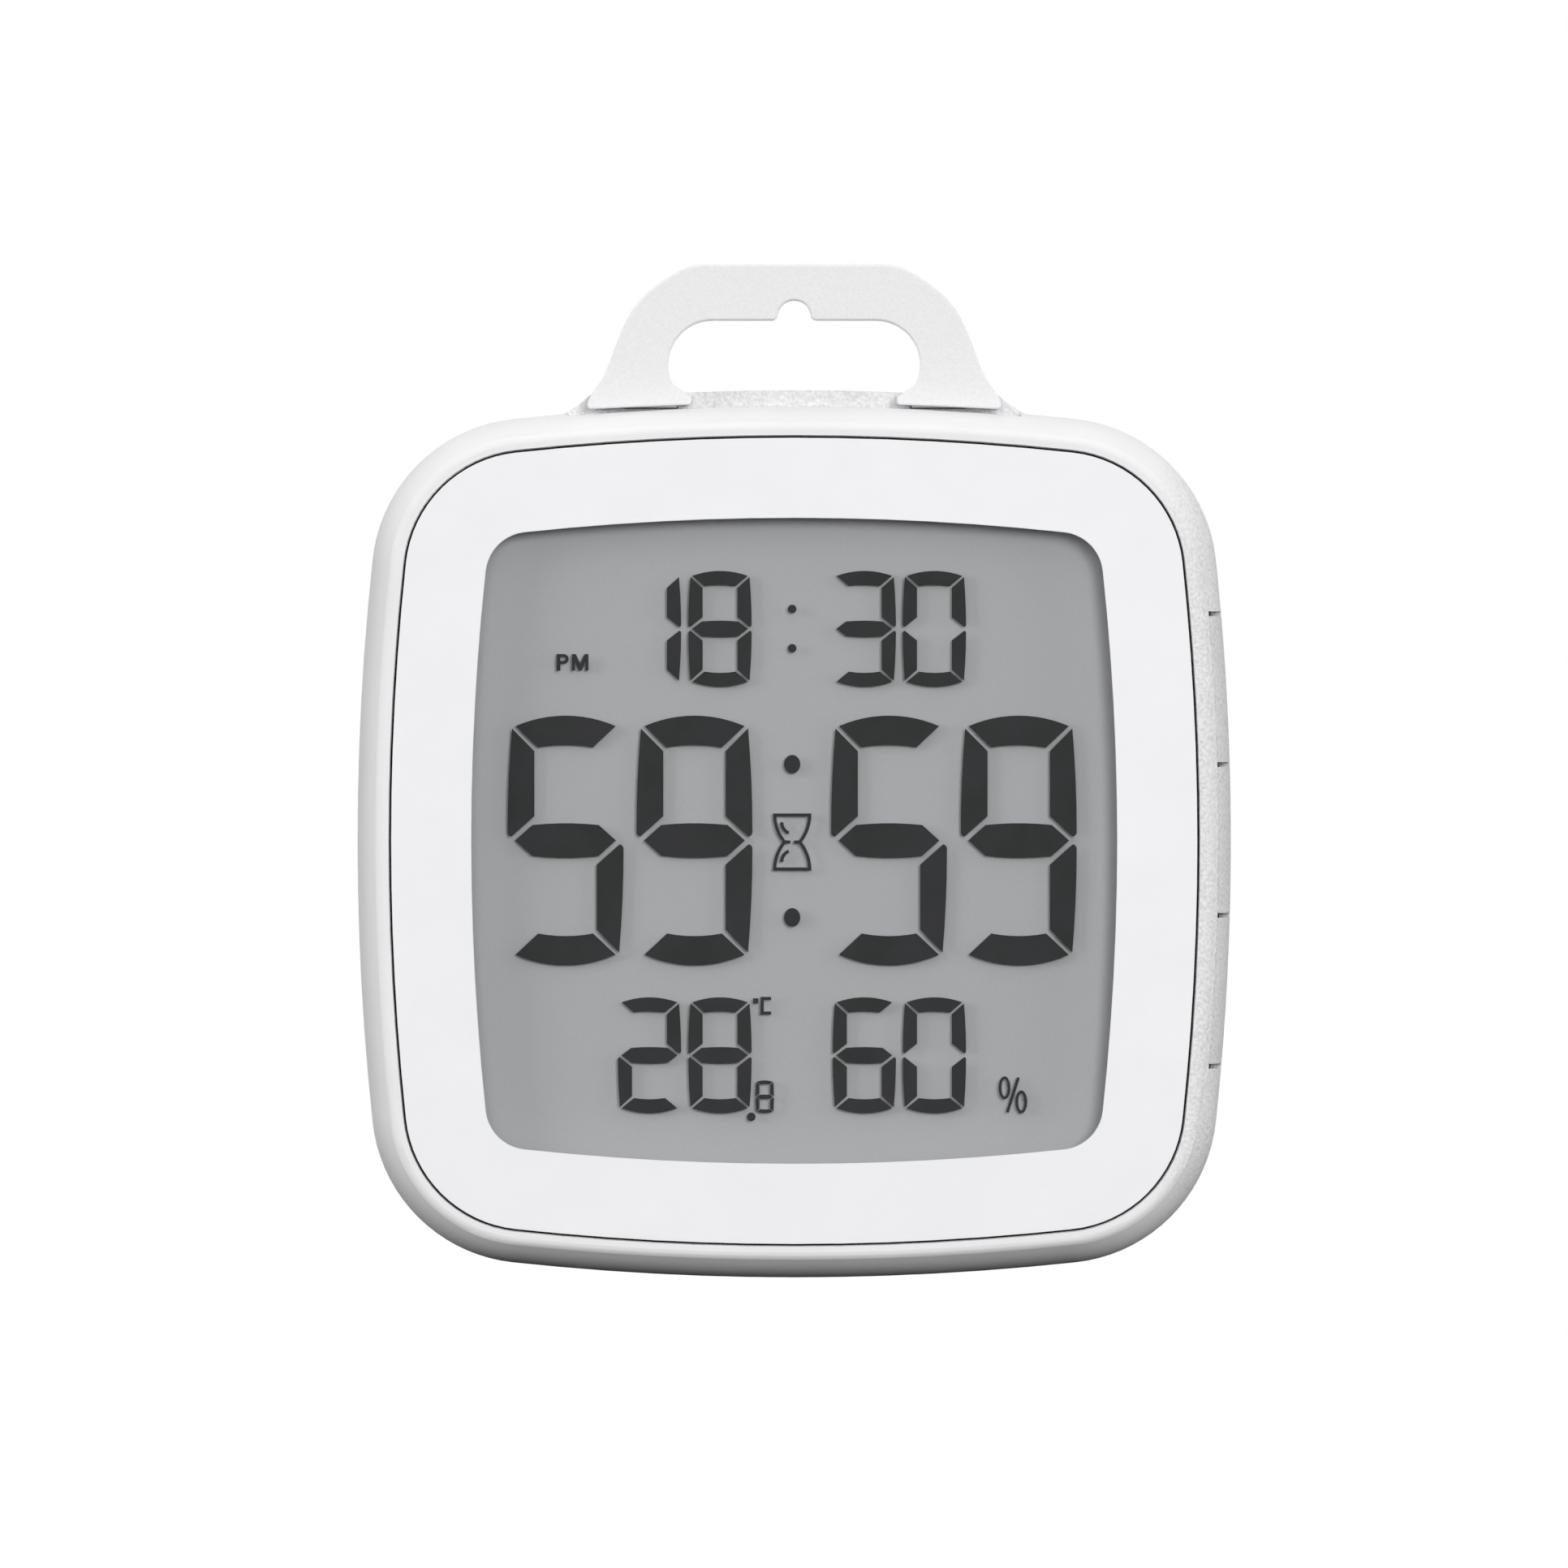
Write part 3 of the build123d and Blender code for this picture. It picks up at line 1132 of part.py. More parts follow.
    # Pockets for the handle tongues, and their screw holes
    with BuildSketch(facing(TONGUE_BACK + TONGUE_GAP)):
        for side in (-1, 1):
            ends = sorted((side * (TONGUE_LEFT - TONGUE_GAP), side * (TONGUE_RIGHT + TONGUE_GAP)))
            rectangle(*ends, TONGUE_LOW - TONGUE_GAP, TONGUE_HIGH + TONGUE_GAP)
    extrude(amount=TONGUE_BACK + TONGUE_GAP, mode=Mode.SUBTRACT)
    with BuildSketch(FLOOR_UP):
        with Locations((HANDLE_SCREW_X, HANDLE_SCREW_Y), (-HANDLE_SCREW_X, HANDLE_SCREW_Y)):
            Circle(HANDLE_SHANK + FIT)
    extrude(amount=TONGUE_LOW - HANDLE_HEAD_LOW, mode=Mode.SUBTRACT)
rear_housing.part.label = "rear_housing"
export_step(rear_housing.part, "parts/rear_housing.step")
print("rear housing solids:", len(rear_housing.part.solids()))

# Hanging handle: a flat plate with a slot, a hook notch and two feet
HANDLE_HALF_THICK = 1.6
HANDLE_TOP = 6.5
HANDLE_TOP_HALF = 11.1
HANDLE_SIDE = (
    (15.0, 5.2), (17.85, 3.25), (20.0, 0.75), (21.3, -1.75), (22.4, -4.6), (23.6, -7.5)
)
FOOT_OUT = (25.3, -10.0)
FOOT_OUT_LOW = (25.75, -11.38)
FOOT_IN_LOW = (12.7, -10.82)
FOOT_IN = (12.7, -9.85)
FOOT_OUT_ROUND = 0.5
FOOT_IN_ROUND = 0.38
SLOT_TOP = -0.42
SLOT_RADIUS = 5.45
SLOT_END = 10.08
SLOT_FOOT_ANGLE = radians(-27)
HOOK_RADIUS = 2.05
HOOK_FILLET = 0.7
HANDLE_EDGE_ROUND = 0.3
slot_middle = SLOT_TOP - SLOT_RADIUS


def slot_point(angle):
    """Point of the round end of the slot."""
    return (SLOT_END + SLOT_RADIUS * cos(angle), slot_middle + SLOT_RADIUS * sin(angle))


with BuildPart() as hanging_handle:
    with BuildSketch(hanging(HANDLE_HALF_THICK)) as handle_sketch:
        with BuildLine():
            Line((0, HANDLE_TOP), (HANDLE_TOP_HALF, HANDLE_TOP))
            Spline((HANDLE_TOP_HALF, HANDLE_TOP), *HANDLE_SIDE, FOOT_OUT, tangents=((1, 0), (0.6, -1)))
            Polyline(FOOT_OUT, FOOT_OUT_LOW, FOOT_IN_LOW, FOOT_IN, slot_point(SLOT_FOOT_ANGLE))
            ThreePointArc(slot_point(SLOT_FOOT_ANGLE), slot_point(0), slot_point(pi / 2))
            Polyline(slot_point(pi / 2), (0, SLOT_TOP), (0, HANDLE_TOP))
        make_face()
        foot_out = handle_sketch.vertices().sort_by_distance(FOOT_OUT_LOW)[0]
        fillet(foot_out, radius=FOOT_OUT_ROUND)
        foot_in = handle_sketch.vertices().filter_by(lambda corner: abs(corner.X - FOOT_IN[0]) < FIT)
        fillet(foot_in, radius=FOOT_IN_ROUND)
        mirror(about=Plane.YZ)
        Circle(HOOK_RADIUS, mode=Mode.SUBTRACT)
        hook_corners = handle_sketch.vertices().filter_by(
            lambda corner: abs(corner.X) < 2 * HOOK_RADIUS and abs(corner.Y - SLOT_TOP) < FIT
        )
        fillet(hook_corners, radius=HOOK_FILLET)
    extrude(amount=2 * HANDLE_HALF_THICK)
    fillet(hanging_handle.edges().group_by(Axis.Y)[0], radius=HANDLE_EDGE_ROUND)
    with BuildSketch(facing(TONGUE_BACK)):
        for side in (-1, 1):
            ends = sorted((side * TONGUE_LEFT, side * TONGUE_RIGHT))
            rectangle(*ends, TONGUE_LOW, TONGUE_HIGH)
    extrude(amount=TONGUE_BACK)
    with BuildSketch(FLOOR_UP):
        with Locations((HANDLE_SCREW_X, HANDLE_SCREW_Y), (-HANDLE_SCREW_X, HANDLE_SCREW_Y)):
            Circle(HANDLE_SHANK + FIT)
    extrude(amount=HANDLE_SCREW_TOP - HANDLE_HEAD_LOW + FIT, mode=Mode.SUBTRACT)
hanging_handle.part.label = "hanging_handle"
export_step(hanging_handle.part, "parts/hanging_handle.step")

with BuildPart() as handle_screws:
    with BuildSketch(FLOOR_UP):
        with Locations((HANDLE_SCREW_X, HANDLE_SCREW_Y), (-HANDLE_SCREW_X, HANDLE_SCREW_Y)):
            Circle(HANDLE_HEAD)
    extrude(amount=HANDLE_HEAD_HIGH - HANDLE_HEAD_LOW)
    with BuildSketch(FLOOR_UP):
        with Locations((HANDLE_SCREW_X, HANDLE_SCREW_Y), (-HANDLE_SCREW_X, HANDLE_SCREW_Y)):
            Circle(HANDLE_SHANK)
    extrude(amount=HANDLE_SCREW_TOP - HANDLE_HEAD_LOW)
handle_screws.part.label = "handle_screws"
export_step(handle_screws.part, "parts/handle_screws.step")

# Battery door with its pivot pins and grip lines, and the seal on its ledge
GRIP_PITCH = 1.6
GRIP_COUNT = 4
GRIP_HALF = 7.0
GRIP_WIDTH = 0.6
GRIP_DEPTH = 0.35
GRIP_HEIGHT = -30.2
with BuildPart() as battery_door:
    with BuildSketch(facing(DOOR_FRONT + DOOR_THICK)):
        rectangle(-DOOR_HALF, DOOR_HALF, DOOR_BOTTOM, DOOR_AXIS[1])
    extrude(amount=DOOR_THICK)
    with BuildSketch(across(-DOOR_HALF)):
        with Locations(DOOR_AXIS):
            Circle(DOOR_THICK / 2)
    extrude(amount=2 * DOOR_HALF)
    with BuildSketch(across(-DOOR_PIN_END)):
        with Locations(DOOR_AXIS):
            Circle(DOOR_PIN)
    extrude(amount=2 * DOOR_PIN_END)
    with BuildSketch(facing(DOOR_FRONT + DOOR_THICK + OVERRUN)):
        with Locations((0, GRIP_HEIGHT)):
            with GridLocations(0, GRIP_PITCH, 1, GRIP_COUNT):
                SlotOverall(2 * GRIP_HALF, GRIP_WIDTH)
    extrude(amount=OVERRUN + GRIP_DEPTH, mode=Mode.SUBTRACT)
battery_door.part.label = "battery_door"
export_step(battery_door.part, "parts/battery_door.step")

DOOR_SEAL_THICK = 0.4
DOOR_SEAL_GAP = 0.3
with BuildPart() as door_seal:
    with BuildSketch(facing(DOOR_LEDGE + FIT + DOOR_SEAL_THICK)):
        rectangle(-DOOR_HALF, DOOR_HALF, DOOR_BOTTOM, OPENING_TOP - DOOR_SEAL_GAP)
        rectangle(
            -BOX_HALF - DOOR_SEAL_GAP,
            BOX_HALF + DOOR_SEAL_GAP,
            BOX_BOTTOM - DOOR_SEAL_GAP,
            BOX_TOP + DOOR_SEAL_GAP,
            mode=Mode.SUBTRACT,
        )
    extrude(amount=DOOR_SEAL_THICK)
door_seal.part.label = "door_seal"
export_step(door_seal.part, "parts/door_seal.step")

# Battery cells: a can with its pole at one end
POLE_RADIUS = 1.9
POLE_LENGTH = 0.9
CAN_ROUND = 0.4


def battery_cell(height, side):
    """A cell along X, its pole on the given side."""
    with BuildPart() as cell:
        with BuildSketch(across(-side * CELL_LENGTH / 2)):
            with Locations((CELL_DEPTH, height)):
                Circle(CELL_RADIUS)
        extrude(amount=side * (CELL_LENGTH - POLE_LENGTH))
        fillet(cell.edges(), radius=CAN_ROUND)
        with BuildSketch(across(0)):
            with Locations((CELL_DEPTH, height)):
                Circle(POLE_RADIUS)
        extrude(amount=side * CELL_LENGTH / 2)
    return cell.part


for number, (height, side) in enumerate(zip(CELL_HEIGHTS, (1, -1)), start=1):
    cell = battery_cell(height, side)
    cell.label = f"battery_cell_{number}"
    export_step(cell, f"parts/battery_cell_{number}.step")

# Battery contacts: thin plates with a bent leaf for each cell
CONTACT_THICK = 0.4
CONTACT_HALF = 4.5
LEAF_TIP_HALF = 0.9
LEAF_HALF_WIDTH = 2.5
CONTACT_BACK = 14.0
CONTACT_FRONT = 5.0
plate_face = BOX_HALF - FIT - CONTACT_THICK
leaf_tip = CELL_LENGTH / 2 + FIT


def contact(side, heights):
    """A plate against the box wall on one side, with a leaf at each height."""
    ends = sorted((side * plate_face, side * (plate_face + CONTACT_THICK)))
    with BuildPart() as plate:
        with BuildSketch(facing(CONTACT_BACK)):
            rectangle(*ends, min(heights) - CONTACT_HALF, max(heights) + CONTACT_HALF)
        extrude(amount=CONTACT_BACK - CONTACT_FRONT)
        with BuildSketch(facing(CELL_DEPTH + LEAF_HALF_WIDTH)):
            for height in heights:
                with BuildLine():
                    outer = CONTACT_HALF - CONTACT_THICK
                    inner = outer - hypot(CONTACT_THICK, CONTACT_THICK)
                    Polyline(
                        (side * (plate_face + FIT), height - outer),
                        (side * leaf_tip, height - LEAF_TIP_HALF),
                        (side * leaf_tip, height + LEAF_TIP_HALF),
                        (side * (plate_face + FIT), height + outer),
                        (side * (plate_face + FIT), height + inner),
                        (side * (leaf_tip + CONTACT_THICK), height + LEAF_TIP_HALF / 2),
                        (side * (leaf_tip + CONTACT_THICK), height - LEAF_TIP_HALF / 2),
                        (side * (plate_face + FIT), height - inner),
                        (side * (plate_face + FIT), height - outer),
                    )
                make_face()
        extrude(amount=2 * LEAF_HALF_WIDTH)
    return plate.part


for name, side, heights in (
    ("link_contact", -1, CELL_HEIGHTS),
    ("positive_terminal", 1, CELL_HEIGHTS[:1]),
    ("negative_terminal", 1, CELL_HEIGHTS[1:]),
):
    piece = contact(side, heights)
    piece.label = name
    export_step(piece, f"parts/{name}.step")

# Folding stand and its two pins
STAND_ROUND = 2.0
with BuildPart() as rear_stand:
    with BuildSketch(facing(STAND_AXIS[0] + STAND_THICK / 2)) as stand_sketch:
        outer = STAND_ARM + STAND_WIDTH / 2
        rectangle(-outer, outer, STAND_BOTTOM, STAND_AXIS[1])
        fillet(stand_sketch.vertices().group_by(Axis.Y)[0], radius=STAND_ROUND)
        inner = STAND_ARM - STAND_WIDTH / 2
        rectangle(-inner, inner, STAND_BAR_TOP, STAND_AXIS[1] + OVERRUN, mode=Mode.SUBTRACT)
    extrude(amount=STAND_THICK)
    for side in (-1, 1):
        with BuildSketch(across(side * inner)):
            with Locations(STAND_AXIS):
                Circle(STAND_THICK / 2)
        extrude(amount=side * STAND_WIDTH)
        with BuildSketch(across(side * (inner - OVERRUN))):
            with Locations(STAND_AXIS):
                Circle(STAND_PIN + 3 * FIT)
        extrude(amount=side * (STAND_WIDTH + 2 * OVERRUN), mode=Mode.SUBTRACT)
rear_stand.part.label = "rear_stand"
export_step(rear_stand.part, "parts/rear_stand.step")

with BuildPart() as stand_pins:
    for side in (-1, 1):
        with BuildSketch(across(side * STAND_PIN_START)):
            with Locations(STAND_AXIS):
                Circle(STAND_PIN)
        extrude(amount=side * (STAND_PIN_END - STAND_PIN_START))
stand_pins.part.label = "stand_pins"
export_step(stand_pins.part, "parts/stand_pins.step")

# Piezo buzzer behind the sound holes
BUZZER_THICK = 0.6
BUZZER_BACK = INNER_BACK - 2 * FIT
with BuildPart() as piezo_buzzer:
    with BuildSketch(facing(BUZZER_BACK)):
        with Locations(BUZZER_AT):
            Circle(BUZZER_RADIUS)
    extrude(amount=BUZZER_THICK)
piezo_buzzer.part.label = "piezo_buzzer"
export_step(piezo_buzzer.part, "parts/piezo_buzzer.step")

# Suction cups: a stud through the back wall and a thin flared skirt
CUP_HEAD = 2.6
CUP_HEAD_FRONT = 13.3
CUP_HEAD_BACK = INNER_BACK - 2 * FIT
CUP_BASE = 4.2
CUP_BASE_FRONT = BACK + 2 * FIT
CUP_RIM = 14.0
CUP_RIM_BACK = 23.0
CUP_SKIRT = 1.0
CUP_HOLLOW = 18.6
CUP_HOLLOW_FLAT = 1.5
CUP_SAG = (10.2, 19.4)
CUP_INNER_SAG = (9.2, 20.3)


def suction_cup(side):
    """A cup turned about an axis along Y."""
    section = Plane(
        (side * CUP_AT[0], 0, CUP_AT[1] - BODY_DROP), x_dir=(1, 0, 0), z_dir=(0, 0, 1)
    )
    with BuildPart() as cup:
        with BuildSketch(section):
            with BuildLine():
                Polyline(
                    (CUP_HOLLOW_FLAT, CUP_HOLLOW),
                    (0, CUP_HOLLOW),
                    (0, CUP_HEAD_FRONT),
                    (CUP_HEAD, CUP_HEAD_FRONT),
                    (CUP_HEAD, CUP_HEAD_BACK),
                    (CUP_NECK, CUP_HEAD_BACK),
                    (CUP_NECK, CUP_BASE_FRONT),
                    (CUP_BASE, CUP_BASE_FRONT),
                )
                ThreePointArc((CUP_BASE, CUP_BASE_FRONT), CUP_SAG, (CUP_RIM, CUP_RIM_BACK))
                Line((CUP_RIM, CUP_RIM_BACK), (CUP_RIM - CUP_SKIRT, CUP_RIM_BACK))
                ThreePointArc(
                    (CUP_RIM - CUP_SKIRT, CUP_RIM_BACK), CUP_INNER_SAG, (CUP_HOLLOW_FLAT, CUP_HOLLOW)
                )
            make_face()
        revolve(axis=Axis((side * CUP_AT[0], 0, CUP_AT[1] - BODY_DROP), (0, 1, 0)))
    return cup.part


for name, side in (("suction_cup_left", -1), ("suction_cup_right", 1)):
    cup = suction_cup(side)
    cup.label = name
    export_step(cup, f"parts/{name}.step")
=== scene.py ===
# %% [markdown]
# # A bathroom clock with a grey display
# This lesson dresses a white wall clock. Its solids come in as a fixed frame in
# metres, with the front towards -Y and up along +Z. The solids keep their places,
# and each one gets a finish that is made of nodes. Only the two glass sheets of the
# display, whose solids would keep the light out, are built here instead.

# %% Load the frame
import math

import bmesh
import bpy
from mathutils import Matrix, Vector


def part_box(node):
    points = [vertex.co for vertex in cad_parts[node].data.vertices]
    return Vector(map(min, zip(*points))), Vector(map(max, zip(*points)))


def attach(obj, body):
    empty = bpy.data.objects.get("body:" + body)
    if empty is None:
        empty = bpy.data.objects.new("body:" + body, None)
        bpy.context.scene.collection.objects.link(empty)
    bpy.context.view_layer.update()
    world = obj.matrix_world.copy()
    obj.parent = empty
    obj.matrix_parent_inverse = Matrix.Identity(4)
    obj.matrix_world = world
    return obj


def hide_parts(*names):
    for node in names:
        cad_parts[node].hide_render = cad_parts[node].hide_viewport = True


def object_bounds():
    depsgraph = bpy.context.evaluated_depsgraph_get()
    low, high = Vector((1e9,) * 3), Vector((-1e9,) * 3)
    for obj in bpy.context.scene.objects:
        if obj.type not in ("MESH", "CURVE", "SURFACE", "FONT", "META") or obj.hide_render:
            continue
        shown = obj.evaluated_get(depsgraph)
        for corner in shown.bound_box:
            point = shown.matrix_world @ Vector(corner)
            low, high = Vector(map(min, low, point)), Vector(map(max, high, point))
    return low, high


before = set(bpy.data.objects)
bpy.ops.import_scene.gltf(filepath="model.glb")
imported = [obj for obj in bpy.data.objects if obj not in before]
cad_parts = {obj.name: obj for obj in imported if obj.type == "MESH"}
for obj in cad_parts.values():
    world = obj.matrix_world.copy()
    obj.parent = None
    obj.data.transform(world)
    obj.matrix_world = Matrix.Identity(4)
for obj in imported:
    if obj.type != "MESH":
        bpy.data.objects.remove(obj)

solid_box = [list(corner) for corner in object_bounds()]

# %% [markdown]
# ## The camera
# The clock was photographed from straight ahead and from far off, so its sides run
# almost parallel. A long lens at two and a half metres gives that. The picture is
# 1932 pixels wide and each pixel covers a tenth of a millimetre, so the width of
# the view follows from the two, and the middle of the clock falls on its own pixel.

# %% Set up the camera
MM = 0.001
PICTURE = 1932
PIXEL = 0.1 * MM
CLOCK_IN_PICTURE = (978.6, 1036.1)
CAMERA_DISTANCE = 2500 * MM
CAMERA_REACH = 20
FILM = 36.0

panel_low, panel_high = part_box("front_panel")
clock_middle = (panel_low + panel_high) / 2
front_y = panel_low.y
view_x = clock_middle.x + (PICTURE / 2 - CLOCK_IN_PICTURE[0]) * PIXEL
view_z = clock_middle.z + (CLOCK_IN_PICTURE[1] - PICTURE / 2) * PIXEL

lens = bpy.data.cameras.new("studio_lens")
lens.sensor_width = FILM
lens.lens = FILM * CAMERA_DISTANCE / (PICTURE * PIXEL)
lens.clip_end = CAMERA_REACH
camera = bpy.data.objects.new("studio_camera", lens)
camera.location = (view_x, front_y - CAMERA_DISTANCE, view_z)
camera.rotation_euler = (math.radians(90), 0, 0)
bpy.context.scene.collection.objects.link(camera)
bpy.context.scene.camera = camera
bpy.context.scene.view_settings.view_transform = "Standard"
print("lens of", round(lens.lens), "mm at", [round(v, 4) for v in camera.location])

# %% [markdown]
# ## The room round the clock
# The photograph has a plain white ground, light from above and from the front, and
# a dark underside. What the camera sees directly, or in a mirror, or through glass,
# is plain white of strength 1. What lights the clock is another matter. Light Path
# tells the two apart, so the ground never has to be over-lit to look white. The sky
# and the floor both ask it, so the question is put once, as a helper.

# %% Tell what is seen from what gives light
def joined(tree, operation, first, second):
    result = tree.nodes.new("ShaderNodeMath")
    result.operation = operation
    for socket, value in zip(result.inputs, (first, second)):
        if isinstance(value, float):
            socket.default_value = value
        else:
            tree.links.new(value, socket)
    return result.outputs["Value"]


SEEN_RAYS = ("Is Camera Ray", "Is Glossy Ray", "Is Transmission Ray")


def seen_directly(tree):
    path = tree.nodes.new("ShaderNodeLightPath")
    direct, mirrored, through = (path.outputs[name] for name in SEEN_RAYS)
    either = joined(tree, "MAXIMUM", direct, mirrored)
    return joined(tree, "MAXIMUM", either, through)


print("shown plain white to:", ", ".join(SEEN_RAYS))

# %% [markdown]
# ## The sky
# The light that falls on the clock comes from a sky that is bright overhead, fades
# out on the way down and is black at the horizon and below. The fade is told by the
# height of the direction looked in, from 0 at the horizon to 1 straight up.

# %% Paint the sky
WHITE = (1, 1, 1, 1)
BLACK = (0, 0, 0, 1)
SKY_ABOVE = 0.95
SKY_BELOW = 0.0
SKY_STARTS = 0.2
SKY_FULL = 0.8

sky = bpy.data.worlds.new("studio_sky")
sky.use_nodes = True
bpy.context.scene.world = sky
tree = sky.node_tree
tree.nodes.clear()
direction = tree.nodes.new("ShaderNodeTexCoord")
parts = tree.nodes.new("ShaderNodeSeparateXYZ")
height = tree.nodes.new("ShaderNodeMapRange")
height.inputs["From Min"].default_value = SKY_STARTS
height.inputs["From Max"].default_value = SKY_FULL
height.inputs["To Min"].default_value = SKY_BELOW
height.inputs["To Max"].default_value = SKY_ABOVE
lighting = tree.nodes.new("ShaderNodeBackground")
seen = tree.nodes.new("ShaderNodeBackground")
seen.inputs["Color"].default_value = WHITE
choice = tree.nodes.new("ShaderNodeMixShader")
out = tree.nodes.new("ShaderNodeOutputWorld")
tree.links.new(direction.outputs["Generated"], parts.inputs["Vector"])
tree.links.new(parts.outputs["Z"], height.inputs["Value"])
tree.links.new(height.outputs["Result"], lighting.inputs["Strength"])
tree.links.new(seen_directly(tree), choice.inputs["Fac"])
tree.links.new(lighting.outputs["Background"], choice.inputs[1])
tree.links.new(seen.outputs["Background"], choice.inputs[2])
tree.links.new(choice.outputs["Shader"], out.inputs["Surface"])
print("sky from", SKY_BELOW, "below to", SKY_ABOVE, "above")

# %% [markdown]
# ## The lamps
# The main lamp stands in front, a little up and to the right. It lets the border
# throw its soft shade on the top and the right edge of the display, and a weak lamp
# straight ahead keeps that shade from going black. A wide lamp fills the left side, a
# weaker one the right side with the keys, and a large one stands behind, for whoever
# turns the clock round. None shines from below, so the underside stays dark. Each
# lamp is turned round the clock and raised by degrees, and its size is in metres. A
# lamp's power grows with the square of its distance, so it is worked out from the
# share of the light that the lamp should give a white card turned to face it.

# %% Hang the lamps
LAMP_DISTANCE = 2.5
LAMPS = {
    "main_lamp": dict(turn=18, rise=12, share=0.44, size=0.9),
    "front_fill": dict(turn=-4, rise=3, share=0.25, size=1.2),
    "left_fill": dict(turn=-68, rise=12, share=0.38, size=1.0),
    "right_fill": dict(turn=75, rise=5, share=0.28, size=1.0),
    "back_lamp": dict(turn=180, rise=14, share=0.75, size=3.0),
}


def hang_lamp(name, turn, rise, share, size):
    turn, rise = math.radians(turn), math.radians(rise)
    towards = Vector((
        math.sin(turn) * math.cos(rise),
        -math.cos(turn) * math.cos(rise),
        math.sin(rise),
    ))
    light = bpy.data.lights.new(name, "AREA")
    light.shape = "DISK"
    light.size = size
    light.energy = share * math.pi**2 * LAMP_DISTANCE**2
    lamp = bpy.data.objects.new(name, light)
    lamp.location = clock_middle + towards * LAMP_DISTANCE
    lamp.rotation_euler = towards.to_track_quat("Z", "Y").to_euler()
    bpy.context.scene.collection.objects.link(lamp)
    place = [round(v, 2) for v in lamp.location]
    print(name, "of", round(light.energy, 1), "watts at", place)


for name, setting in LAMPS.items():
    hang_lamp(name, **setting)

# %% [markdown]
# ## The floor
# The clock hangs, so the floor lies a little under it and just out of the picture.
# It reaches far to the front and only a little way behind the clock. Whatever sees it
# directly, in a mirror or through clear vinyl sees white, darkened where the clock
# keeps the sky off it: an Ambient Occlusion node measures that and keeps the soft
# shadow. Light that bounces off the floor is kept low, because the photograph has a
# dark underside.

# %% Lay the floor
FLOOR_GAP = 46 * MM
FLOOR_HALF = 1.6
FLOOR_BEHIND = 0.22
FLOOR_SQUARES = 4

floor_z = solid_box[0][2] - FLOOR_GAP
floor_mesh = bpy.data.meshes.new("pale_floor")
ground = bmesh.new()
bmesh.ops.create_grid(
    ground, x_segments=FLOOR_SQUARES, y_segments=FLOOR_SQUARES, size=FLOOR_HALF)
ground.to_mesh(floor_mesh)
ground.free()
floor = bpy.data.objects.new("pale_floor", floor_mesh)
floor.location = (0, -FLOOR_HALF + FLOOR_BEHIND, floor_z)
bpy.context.scene.collection.objects.link(floor)
print("floor at", round(floor_z, 4))

# %% Paint the floor
SHADOW_REACH = 130 * MM
SHADOW_SAMPLES = 8
SHADOW_DARKEST = 0.45
FLOOR_BOUNCE = 0.03

floor_paint = bpy.data.materials.new("floor_paint")
floor_paint.use_nodes = True
tree = floor_paint.node_tree
tree.nodes.clear()
shade = tree.nodes.new("ShaderNodeAmbientOcclusion")
shade.inputs["Distance"].default_value = SHADOW_REACH
shade.samples = SHADOW_SAMPLES
dimmed = tree.nodes.new("ShaderNodeMapRange")
dimmed.inputs["To Min"].default_value = SHADOW_DARKEST
dimmed.inputs["To Max"].default_value = 1.0
bright = tree.nodes.new("ShaderNodeEmission")
dull = tree.nodes.new("ShaderNodeBsdfDiffuse")
dull.inputs["Color"].default_value = (FLOOR_BOUNCE, FLOOR_BOUNCE, FLOOR_BOUNCE, 1)
choice = tree.nodes.new("ShaderNodeMixShader")
out = tree.nodes.new("ShaderNodeOutputMaterial")
tree.links.new(shade.outputs["AO"], dimmed.inputs["Value"])
tree.links.new(dimmed.outputs["Result"], bright.inputs["Strength"])
tree.links.new(seen_directly(tree), choice.inputs["Fac"])
tree.links.new(dull.outputs["BSDF"], choice.inputs[1])
tree.links.new(bright.outputs["Emission"], choice.inputs[2])
tree.links.new(choice.outputs["Shader"], out.inputs["Surface"])
floor_mesh.materials.append(floor_paint)
print("floor throws back", FLOOR_BOUNCE, "and its shadow goes down to", SHADOW_DARKEST)

# %% [markdown]
# ## Tools for finishes
# Each finish is one Principled shader with clouds of noise behind its colour, its
# roughness and its bump. Colours are given as they are read off a screen, 0 to 255,
# and turned into the light values Blender works with. The curve between the two is
# the one that screens use: a short straight piece, then a power of 2.4.

# %% Read a colour off the screen
def light_value(level):
    part = level / 255
    return part / 12.92 if part <= 0.04045 else ((part + 0.055) / 1.055) ** 2.4


def screen_colour(red, green, blue):
    return (light_value(red), light_value(green), light_value(blue), 1)


print("mid grey 128 is", round(light_value(128), 3))

# %% [markdown]
# A finish starts as plain values on the shader. They stay there as the finish's
# middle, and whatever should vary gets a cloud on top of them. The shine is how
# strongly the surface throws back a highlight, from 0 to 1.

# %% Start a finish
finishes = {}


def start_finish(slot, roughness, colour, metal=0.0, shine=0.5):
    finish = bpy.data.materials.new(slot)
    finish.use_nodes = True
    finish.node_tree.nodes.clear()
    skin = finish.node_tree.nodes.new("ShaderNodeBsdfPrincipled")
    out = finish.node_tree.nodes.new("ShaderNodeOutputMaterial")
    finish.node_tree.links.new(skin.outputs["BSDF"], out.inputs["Surface"])
    skin.inputs["Base Color"].default_value = colour
    skin.inputs["Roughness"].default_value = roughness
    skin.inputs["Metallic"].default_value = metal
    skin.inputs["Specular IOR Level"].default_value = shine
    finish.diffuse_color = colour
    finishes[slot] = finish
    return finish.node_tree, skin


def put_on(slot, *names):
    for name in names:
        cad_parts[name].data.materials.clear()
        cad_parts[name].data.materials.append(finishes[slot])
    print(slot, "on", ", ".join(names))


print("finishes so far:", len(finishes))

